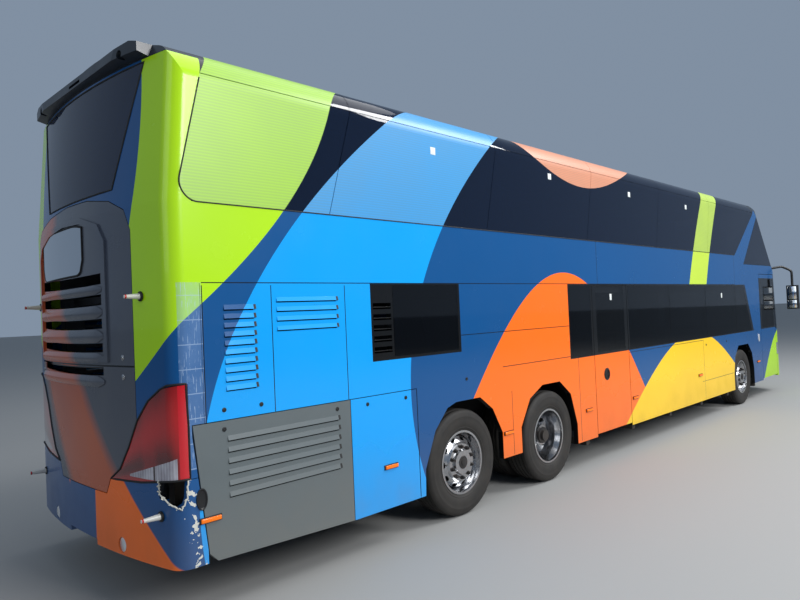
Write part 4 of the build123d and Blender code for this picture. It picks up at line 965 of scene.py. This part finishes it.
# Columns: across, up
lamp_line = [
    (0.505, 0.882), (0.64, 0.965), (0.76, 1.125), (0.87, 1.31), (1.0, 1.45), (1.13, 1.53), (1.2, 1.556),
    (1.262, 1.562), (1.274, 1.562), (1.2748, 1.3), (1.2748, 0.948), (1.262, 0.946), (1.2, 0.94), (0.9, 0.903),
]
for side, sign in sides:
    around = on_skin([(sign * x, z) for x, z in stepped(lamp_line, 5)], 0.001)
    fitted(bead("tail_lamp_seal_" + side, around, 0.007, True), "body", rubber_black)

red_lens = moulded("red_lens", linear(190, 6, 14), 0.15, 60.0)
amber_lens = moulded("amber_lens", linear(255, 120, 6), 0.18, 60.0)
clear_lens, tree, shader = new_finish("clear_lens", 0.08, 0.35, coat=1.0, colour=linear(214, 218, 222))
flutes = calculate(tree, "SINE", calculate(tree, "MULTIPLY", place_of(tree)[0], 420.0))
tree.links.new(bump(tree, flutes, 0.2, 0.001), shader.inputs["Normal"])
stop_lamp = slab("high_stop_lamp", (-0.105, 6.85, 3.818), (0.105, 6.886, 3.836), 0.004)
fitted(stop_lamp, "body", red_lens)

fog_z = 0.44
fog_lamps = [drum("fog_lamp", (x, end_face(x, fog_z) - 0.010, fog_z), 0.05, 0.012, facing_back, 32, 0.003)
             for x in (-0.63, 0.63)]
fitted(joined("rear_fog_lamps", *fog_lamps), "body", clear_lens)
stalk_finish = moulded("stalk_finish", linear(206, 204, 196), 0.3, 120.0)
dress("marker_lamps", stalk_finish)
stalk_tip_y = 7.0215
# Columns: across, up
stalks = [(-0.96, 2.145), (-1.1, 0.705), (1.11, 2.145), (1.1, 0.705)]
roots, tips = [], []
for x, z in stalks:
    roots.append(drum("root", (x, end_face(x, z) + 0.004, z), 0.034, 0.014, facing_back, 24, 0.004))
    tips.append(drum("tip", (x, stalk_tip_y, z), 0.0135, 0.016, facing_back, 20, 0.004))
fitted(joined("stalk_roots", *roots), "body", rubber_black)
fitted(joined("stalk_lenses", *tips), "body", red_lens)

lean = radians(13.8)
edge_line = [(y, glass_foot) for y in (-4.05, -2.0, 0.0, 2.0, 4.0, 5.5)]
for n in range(13):
    turn = -pi / 2 + (pi / 2 + lean) * n / 12
    edge_line.append((corner_y + corner_radius * cos(turn), corner_z + corner_radius * sin(turn)))
edge_line += [(glass_rear_y - glass_rear_lean * z, z) for z in (3.1, 3.3, 3.5, 3.6)]
for side, sign in sides:
    edge = [(sign * (side_x + 0.0005), y, z) for y, z in edge_line]
    fitted(bead("side_glass_seal_" + side, edge, 0.005), "body", rubber_black)


# The broken bumper corner: torn glass-fibre edge round the hole, pale and ragged, with a few
# crumbs still hanging on it.
fibre_pale = work_finish("fibre_pale", linear(214, 212, 200), 0.9, dust=linear(150, 146, 134))
torn_line = [(-1.2748, 6.79, 0.942), (-1.2735, 6.80, 0.832), (-1.258, 6.83, 0.757), (-1.195, 6.878, 0.790)]
torn_line += [(-1.085, end_face(1.085, z), z) for z in (0.848, 0.872, 0.905, 0.942)]
torn_steps = 5
ragged = []
for n, (one, two) in enumerate(zip(torn_line, torn_line[1:])):
    for m in range(torn_steps):
        share = m / torn_steps
        jag = 0.006 * sin(11.0 * (n + share) + 1.7 * m)
        x, y, z = [a + (b - a) * share for a, b in zip(one, two)]
        ragged.append((x, y + 0.5 * jag, z + jag))
torn = [bead("torn_edge", ragged, 0.0055)]
for n, (x, y, z) in enumerate(ragged[3::3]):
    crumb = primitive(bpy.ops.mesh.primitive_ico_sphere_add, "crumb", subdivisions=1, radius=0.012,
                      location=(x + 0.003, y, z - 0.004), rotation=(n, 2.0 * n, 0),
                      scale=(0.5, 1.0 + 0.4 * sin(3.0 * n), 0.8 + 0.5 * cos(5.0 * n)))
    torn.append(settle(crumb))
fitted(joined("torn_bumper_edge", *torn), "body", fibre_pale)


# Side louvres and lamps: pressed hoods over the slots of the flaps, panels and radiators, blades in
# the vents, amber side markers, quarter-turn locks, recessed handles, repeaters and blank labels.
def side_piece(piece, name, body, finish):
    """Fits a piece made on the right side, and its mirror image on the left."""
    other = copied(piece, name + "_left", Matrix.Scale(-1, 4, (1, 0, 0)))
    fitted(other, body.replace("_right", "_left"), finish)
    fitted(joined(name + "_right", piece), body, finish)


def side_block(name, y, z, half_wide, half_high, inward, outward, rounding, segments=2):
    """A block on the right-hand skin, from so far inside its face to so far outside."""
    return slab(name, (-side_x - outward, y - half_wide, z - half_high),
                (-side_x + inward, y + half_wide, z + half_high), rounding, segments)


def hood(name, y_range, foot, high, out=0.009):
    """A pressed lip that slopes out from the skin over a slot and leaves a gap below its edge."""
    head = foot + high + 0.016
    lip = foot + 0.010
    piece = primitive(bpy.ops.mesh.primitive_cube_add, name, size=1)
    for knot in piece.data.vertices:
        y = y_range[1] if knot.co.y > 0 else y_range[0]
        z = head if knot.co.z > 0 else lip
        outer = 0.0003 if knot.co.z > 0 else out
        knot.co = (-side_x - outer if knot.co.x < 0 else -side_x + 0.002, y, z)
    return soften(piece, 0.001, 1, 50)


def hood_set(name, y_range, feet, high, body, finish):
    """The lips of a row of slots, each with a black piece in its open forward end as painted shade."""
    sheets = [hood("hood", y_range, foot, high) for foot in feet]
    # Painted shade: a black wedge closes the forward end of each lip, where shade falls in the opening.
    ends = [hood("hood_end", (y_range[0] - 0.02, y_range[0] - 0.0005), foot, high, 0.0092) for foot in feet]
    side_piece(joined("sheets", *sheets), name, body, finish)
    side_piece(joined("ends", *ends), name + "_ends", body, rubber_black)


hood_set("flap_hoods", (5.517, 6.493), [0.760 + 0.0754 * n for n in range(6)], 0.028,
         "rear_flap_right", flap_grey)
hood_set("panel_hoods", (5.493, 6.057), [1.863 + 0.070 * n for n in range(4)], 0.026,
         "body", coach_paint)
hood_set("radiator_hoods", (6.253, 6.49), [1.475 + 0.061 * n for n in range(10)], 0.028,
         "body", coach_paint)


vent_height = 0.052
vent_blades = []
for n in range(5):
    z = 1.630 + 0.092 * n + 0.32 * vent_height
    vent_blades.append(slab("blade", (-side_x - 0.002, 4.888, z), (-side_x + 0.028, 5.092, z + 0.004), 0.001))
side_piece(joined("vent_blades", *vent_blades), "vent_blades", "body", black_plastic)

# Columns: along, up, body
markers = [
    (6.642, 0.657, "rear_flap_right"), (4.96, 0.673, "side_flap_right"), (3.25, 0.68, "body"),
    (1.56, 0.685, "body"), (0.285, 0.68, "body"), (-2.1, 0.75, "body"), (-5.15, 0.72, "body"),
]
for n, (y, z, body) in enumerate(markers):
    backing = side_block("backing", y, z, 0.082, 0.021, 0.002, 0.006, 0.003)
    lens = side_block("lens", y, z, 0.074, 0.015, -0.004, 0.018, 0.006, 3)
    side_piece(backing, f"marker_base_{n}", body, black_plastic)
    side_piece(lens, f"marker_lens_{n}", body, amber_lens)

# Columns: along, up, body
quarter_locks = [
    (6.517, 1.227, "rear_flap_right"), (5.523, 1.23, "rear_flap_right"), (5.2, 1.225, "side_flap_right"),
    (4.75, 1.225, "side_flap_right"), (6.513, 1.357, "body"), (6.217, 1.357, "body"), (3.9, 1.30, "body"),
    (-2.42, 1.22, "body"), (-3.4, 1.22, "body"),
]
for n, (y, z, body) in enumerate(quarter_locks):
    collar = drum("collar", (-side_x - 0.001, y, z), 0.016, 0.006, sideways, 24, 0.0015)
    key = side_block("key", y, z, 0.009, 0.0015, -0.002, 0.006, 0.0005)
    side_piece(joined("lock", collar, key), f"flap_lock_{n}", body, black_plastic)

def faces_out(face):
    return face.normal.x < -0.9


oval = primitive(bpy.ops.mesh.primitive_cylinder_add, "oval", vertices=40, radius=1, depth=0.014,
                 location=(-side_x - 0.001, 6.70, 0.80), rotation=(0, radians(90), 0), scale=(0.072, 0.04, 1))
sink(settle(oval), faces_out, (0.008, 0), (0.006, -0.006))
side_piece(soften(oval, 0.002), "flap_handle", "rear_flap_right", black_plastic)

handle_y, handle_z = 1.06, 1.073
dish = drum("dish", (-side_x - 0.001, handle_y, handle_z), 0.057, 0.012, sideways, 40, 0.004)
sink(dish, faces_out, (0.009, 0), (0.006, -0.005))
bar = side_block("bar", handle_y, handle_z, 0.048, 0.009, -0.001, 0.008, 0.003)
fitted(joined("middle_door_handle", dish, bar), "middle_door", black_plastic)
repeater_y, repeater_z = -5.25, 1.175
repeater = drum("repeater", (-side_x - 0.004, repeater_y, repeater_z), 0.05, 0.016, sideways, 32, 0.006)
middle = Matrix.Translation((0, repeater_y, repeater_z))
repeater.data.transform(middle @ Matrix.Diagonal((1, 0.8, 1.5, 1)) @ middle.inverted())
side_piece(repeater, "side_repeater", "body", clear_lens)

sticker_white = moulded("sticker_white", linear(222, 228, 226), 0.6, 80.0)
# Columns: along, up, half width, half height
stickers = [
    (-3.275, 2.025, 0.026, 0.04), (4.247, 3.45, 0.034, 0.034), (2.22, 3.454, 0.034, 0.034),
    (0.177, 3.45, 0.034, 0.034), (-1.84, 3.45, 0.034, 0.034),
]
blank = [side_block("label", y, z, half_wide, half_high, 0.0, 0.001, 0.0003)
         for y, z, half_wide, half_high in stickers]
fitted(joined("blank_labels", *blank), "body", sticker_white)
door_label = side_block("door_label", 0.865, 2.05, 0.026, 0.04, 0.0, 0.001, 0.0003)
fitted(door_label, "middle_door", sticker_white)


# Seats: upholstered cushions and backs over grey moulded shells, two to a pair, bolted to the
# floor.
seat_cloth, tree, shader = new_finish("seat_cloth", 0.9)
shader.inputs["Sheen Weight"].default_value = 0.4
x, y, z, across, along = place_of(tree)
threads = 900.0
weave = both(tree, calculate(tree, "SINE", calculate(tree, "MULTIPLY", x, threads)),
             calculate(tree, "SINE", calculate(tree, "MULTIPLY", z, threads)))
cloth_shade = blend_colours(tree, noise(tree, 60.0, detail=4.0), linear(30, 44, 96), linear(70, 96, 168))
tree.links.new(cloth_shade, shader.inputs["Base Color"])
tree.links.new(bump(tree, weave, 0.2, 0.001), shader.inputs["Normal"])


def pad_block(name, size, at, lean):
    """A closed pad of even small faces, before it is filled."""
    piece = primitive(bpy.ops.mesh.primitive_cube_add, name, size=1, scale=size)
    settle(piece)
    choose(piece)
    bpy.ops.object.mode_set(mode="EDIT")
    bpy.ops.mesh.select_all(action="SELECT")
    bpy.ops.mesh.subdivide(number_cuts=5, smoothness=0)
    bpy.ops.object.mode_set(mode="OBJECT")
    piece.data.transform(Matrix.Translation(at) @ Matrix.Rotation(radians(lean), 4, "X"))
    return piece


cushion_lean, back_lean = -4, -12
cushion = pad_block("cushion", (0.41, 0.40, 0.085), (0, -0.215, 0.465), cushion_lean)
backrest = pad_block("backrest", (0.39, 0.08, 0.56), (0, 0.075, 0.76), back_lean)
pad = joined("seat_pad", cushion, backrest)
filling_pressure = 4
filling_steps = 20
most_swell = 0.018
before = [knot.co.copy() for knot in pad.data.vertices]
choose(pad)
filling = pad.modifiers.new("filling", "CLOTH")
filling.settings.use_pressure = True
filling.settings.uniform_pressure_force = filling_pressure
filling.settings.effector_weights.gravity = 0
for step in range(1, filling_steps + 1):
    bpy.context.scene.frame_set(step)
bpy.ops.object.modifier_apply(modifier=filling.name)
bpy.context.scene.frame_set(1)
for knot, was in zip(pad.data.vertices, before):
    moved = knot.co - was
    if moved.length > most_swell:
        knot.co = was + moved.normalized() * most_swell
choose(pad)
rounding = pad.modifiers.new("rounding", "SUBSURF")
rounding.levels = 1
rounding.render_levels = 1
bpy.ops.object.modifier_apply(modifier=rounding.name)

seat_high = 0.40
shell = slab("shell", (-0.2, 0.115, seat_high), (0.2, 0.14, 1.02), 0.01)
back_foot = Matrix.Translation((0, 0, seat_high))
shell.data.transform(back_foot @ Matrix.Rotation(radians(back_lean), 4, "X") @ back_foot.inverted())
tray = slab("tray", (-0.2, -0.41, 0.395), (0.2, 0.06, 0.42), 0.008)
foot = slab("foot", (-0.05, -0.1, 0.0), (0.05, 0.1, seat_high), 0.01)
frame_piece = joined("seat_shell", shell, tray, foot)

pair_x = (0.455, 0.905)
upper_z, lower_z, rear_step_z = 2.215, 0.4, 1.16
rear_step_height = 0.78
stairwell = (-3.6, -1.9)
# Each seat: across, along, floor, share of its full height
upper_places = []
for n in range(14):
    y = 5.9 - 0.79 * n
    for sign in (-1, 1):
        if sign == 1 and stairwell[0] < y < stairwell[1]:
            continue
        upper_places += [(sign * x, y, upper_z, 1.0) for x in pair_x]
lower_places = [(-x, -3.0 + 0.95 * n, lower_z, 1.0) for n in range(4) for x in pair_x]
lower_places += [(x, -1.1 + 0.95 * n, lower_z, 1.0) for n in range(2) for x in pair_x]
lower_places += [(sign * x, y, rear_step_z, rear_step_height)
                 for y in (2.6, 4.5) for sign in (-1, 1) for x in pair_x]
lower_places.append((0.64, -5.65, lower_z, 1.0))
for deck, places in (("upper", upper_places), ("lower", lower_places)):
    pads, shells = [], []
    for x, y, z, height in places:
        at = Matrix.Translation((x, y, z)) @ Matrix.Diagonal((1, 1, height, 1))
        pads.append(copied(pad, "pad", at))
        shells.append(copied(frame_piece, "shell", at))
    cushions = fitted(joined(deck + "_seat_cushions", *pads), "body", seat_cloth)
    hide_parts(deck + "_seats")
    frames = fitted(joined(deck + "_seat_shells", *shells), "body", desk_plastic)
    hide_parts(deck + "_seats")
discard(pad, frame_piece)


# Front end: lamp units behind clear covers, wipers on both screens, bars in the grille, a blank
# number plate and mirror glasses, and inside the doors yellow grab rails and stair nosings.
head_clear, tree, shader = new_finish("head_clear", 0.05, 0.55, coat=1.0)
x, y, z, across, along = place_of(tree)
bowl = calculate(tree, "SINE", calculate(tree, "MULTIPLY", across, 2 * pi / 0.21))
bowl_share = calculate(tree, "MULTIPLY_ADD", bowl, 0.5, 0.5)
bowl_shade = blend_colours(tree, bowl_share, linear(40, 44, 50), linear(210, 216, 222))
tree.links.new(bowl_shade, shader.inputs["Base Color"])
dress("headlamps", head_clear)


def met_skin(node, x, z):
    """Where a level line from in front of the coach first meets a CAD node."""
    start = Vector((x, -9.0, z))
    hit, point, normal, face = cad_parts[node].ray_cast(start, Vector((0, 1, 0)))
    return point if hit else start


head_x = (0.74, 0.90, 1.04)
head_z = 0.89
rings, bulbs = [], []
for sign in (-1, 1):
    for x in head_x:
        at = met_skin("headlamps", sign * x, head_z)
        turn = sign * radians(10 + 24 * (x - head_x[0]) / 0.3)
        ring = primitive(bpy.ops.mesh.primitive_torus_add, "ring", major_radius=0.058, minor_radius=0.006,
                         major_segments=36, minor_segments=8, location=at, rotation=(radians(90), 0, turn))
        rings.append(settle(ring))
        bulb = primitive(bpy.ops.mesh.primitive_uv_sphere_add, "bulb", segments=24, ring_count=12,
                         radius=0.05, location=at, rotation=(0, 0, turn), scale=(1, 0.22, 1))
        bulbs.append(settle(bulb))
fitted(joined("headlamp_rings", *rings), "body", polished)
fitted(joined("headlamp_lenses", *bulbs), "body", clear_lens)


def front_line(node, points, lift):
    """Points on the front skin, lifted forwards off it."""
    return [met_skin(node, x, z) - Vector((0, lift, 0)) for x, z in points]


# Columns: where the arm is hinged, where the blade starts and ends
wipers = [
    ((-0.62, 1.22), (-0.95, 1.38), (-0.12, 1.46)), ((0.62, 1.22), (0.15, 1.38), (0.98, 1.46)),
    ((-0.55, 2.56), (-0.85, 2.69), (-0.1, 2.74)), ((0.55, 2.56), (0.1, 2.69), (0.85, 2.74)),
]
for n, (pivot, start, end) in enumerate(wipers):
    blade_points = [tuple(a + (b - a) * m / 8 for a, b in zip(start, end)) for m in range(9)]
    blade = bead("blade", front_line("windscreens", blade_points, 0.016), 0.009)
    root = front_line("front_nose", [pivot], 0.02)[0]
    tip = front_line("windscreens", [blade_points[4]], 0.03)[0]
    arm = bead("arm", [root, root.lerp(tip, 0.5) - Vector((0, 0.02, 0)), tip], 0.009)
    cap = drum("cap", root, 0.024, 0.03, facing_back, 20, 0.005)
    fitted(joined(f"wiper_{n}", blade, arm, cap), "body", black_plastic)

plate_y = met_skin("front_bumper", 0, 0.46).y
plate = slab("front_plate", (-0.26, plate_y - 0.012, 0.405), (0.26, plate_y - 0.004, 0.515), 0.003)
fitted(plate, "body", sticker_white)
nose_y, nose_bow = -6.995, 0.245
bar_x = [-0.51 + 1.02 * m / 16 for m in range(17)]
bars = []
for z in (0.858, 0.918, 0.978):
    line = [(x, nose_y + nose_bow * (x / side_x) ** 2 + 0.012, z) for x in bar_x]
    bars.append(bead("bar", line, 0.0045))
fitted(joined("grille_bars", *bars), "body", black_plastic)

mirror_glass, tree, shader = new_finish("mirror_glass", 0.03, 1.0, colour=linear(226, 232, 236))
tree.links.new(calculate(tree, "MULTIPLY_ADD", noise(tree, 20.0), 0.06, 0.0), shader.inputs["Roughness"])
mirror_x = 1.5
rim_corners = ((-0.095, 1.708), (0.095, 1.708), (0.095, 2.172), (-0.095, 2.172))
for side, sign in sides:
    middle = sign * mirror_x
    glasses = [slab("glass", (middle - 0.088, -6.876, foot), (middle + 0.088, -6.866, head), 0.004, 3)
               for foot, head in ((1.715, 1.875), (1.9, 2.165))]
    fitted(joined("mirror_glass_" + side, *glasses), "body", mirror_glass)
    rim = [(middle + x, -6.869, z) for x, z in rim_corners]
    fitted(bead("mirror_rim_" + side, rim, 0.006, True), "body", black_plastic)

rail_yellow = moulded("rail_yellow", linear(236, 190, 20), 0.35, 120.0)
rails = []
for x, y in ((-0.95, -5.3), (-0.95, 0.25), (-0.95, 1.5)):
    rails.append(bead("rail", [(x, y, 0.402), (x, y, 1.25), (x + 0.08, y, 1.33), (x + 0.3, y, 1.33)], 0.016))
fitted(joined("grab_rails", *rails), "body", rail_yellow)
stair_y = -2.35
tread, rise = 0.1375, 0.2017
nosings = []
for n in range(8):
    front = stair_y - tread * (n + 1)
    level = lower_z + rise * (n + 1)
    low, high = (0.272, front - 0.001, level - 0.001), (1.078, front + tread, level + 0.003)
    nosings.append(slab("nosing", low, high, 0.001))
fitted(joined("stair_nosings", *nosings), "body", rail_yellow)


# Door edges: each leaf carries a black rubber seal round its rim, which fills the gap to the frame
# when the door is shut.
# Columns: door, its front and rear edge, its foot and head
for name, (front, rear), (foot, head) in (
    ("front_door", (-6.41, -5.437), (0.362, 2.423)), ("middle_door", (0.417, 1.363), (0.362, 2.2)),
):
    corners = ((front, foot), (rear, foot), (rear, head), (front, head))
    edge = [(-side_x + 0.006, y, z) for y, z in corners]
    fitted(bead(name + "_seal", edge, 0.0035, True), name, rubber_black)


# The stage: a pale floor under soft light from large panels overhead, on the right and high at the
# right front, with a faint one behind.
floor_z = cad_box[0][2]
ground = primitive(bpy.ops.mesh.primitive_plane_add, "studio_floor", size=400, location=(0, 0, floor_z))
pale_floor, tree, shader = new_finish("pale_floor", 0.75, colour=linear(150, 150, 148))
ground.data.materials.append(pale_floor)

# Columns: name, place, turn, size, power
for name, at, turn, size, power in (
    ("overhead_panel", (-3, 1, 15), (0, 0, 0), 14, 900),
    ("side_panel", (-14, 2.5, 8.5), (0, -58, 0), 6, 1700),
    ("front_panel", (-10, -10, 15), (43, 0, -45), 7, 2600),
    ("rear_panel", (-3, 19, 7), (-68, 0, 0), 8, 260),
):
    bpy.ops.object.light_add(type="AREA", location=at, rotation=tuple(radians(angle) for angle in turn))
    panel = bpy.context.active_object
    panel.name = name
    panel.data.size = size
    panel.data.energy = power
studio = bpy.data.worlds.new("studio")
studio.use_nodes = True
studio.node_tree.nodes["Background"].inputs["Color"].default_value = (0.52, 0.66, 0.86, 1.0)
studio.node_tree.nodes["Background"].inputs["Strength"].default_value = 0.42
bpy.context.scene.world = studio

# The camera stands where the photograph was taken, low behind the right rear corner.
eye = (-5.2434, 8.8375, 1.959)
yaw, pitch, roll = radians(44.281), radians(1.144), radians(-2.475)
forward = Vector((sin(yaw) * cos(pitch), -cos(yaw) * cos(pitch), sin(pitch)))
level = forward.cross(Vector((0, 0, 1))).normalized()
upright = level.cross(forward)
right = cos(roll) * level + sin(roll) * upright
up = cos(roll) * upright - sin(roll) * level
camera_data = bpy.data.cameras.new("photo_camera")
camera_data.lens = 29.469
camera_data.sensor_width = 36
camera = bpy.data.objects.new("photo_camera", camera_data)
bpy.context.scene.collection.objects.link(camera)
facing = Matrix((right, up, -forward)).transposed().to_4x4()
camera.matrix_world = Matrix.Translation(eye) @ facing
bpy.context.scene.camera = camera

bpy.context.scene.view_settings.view_transform = "Standard"
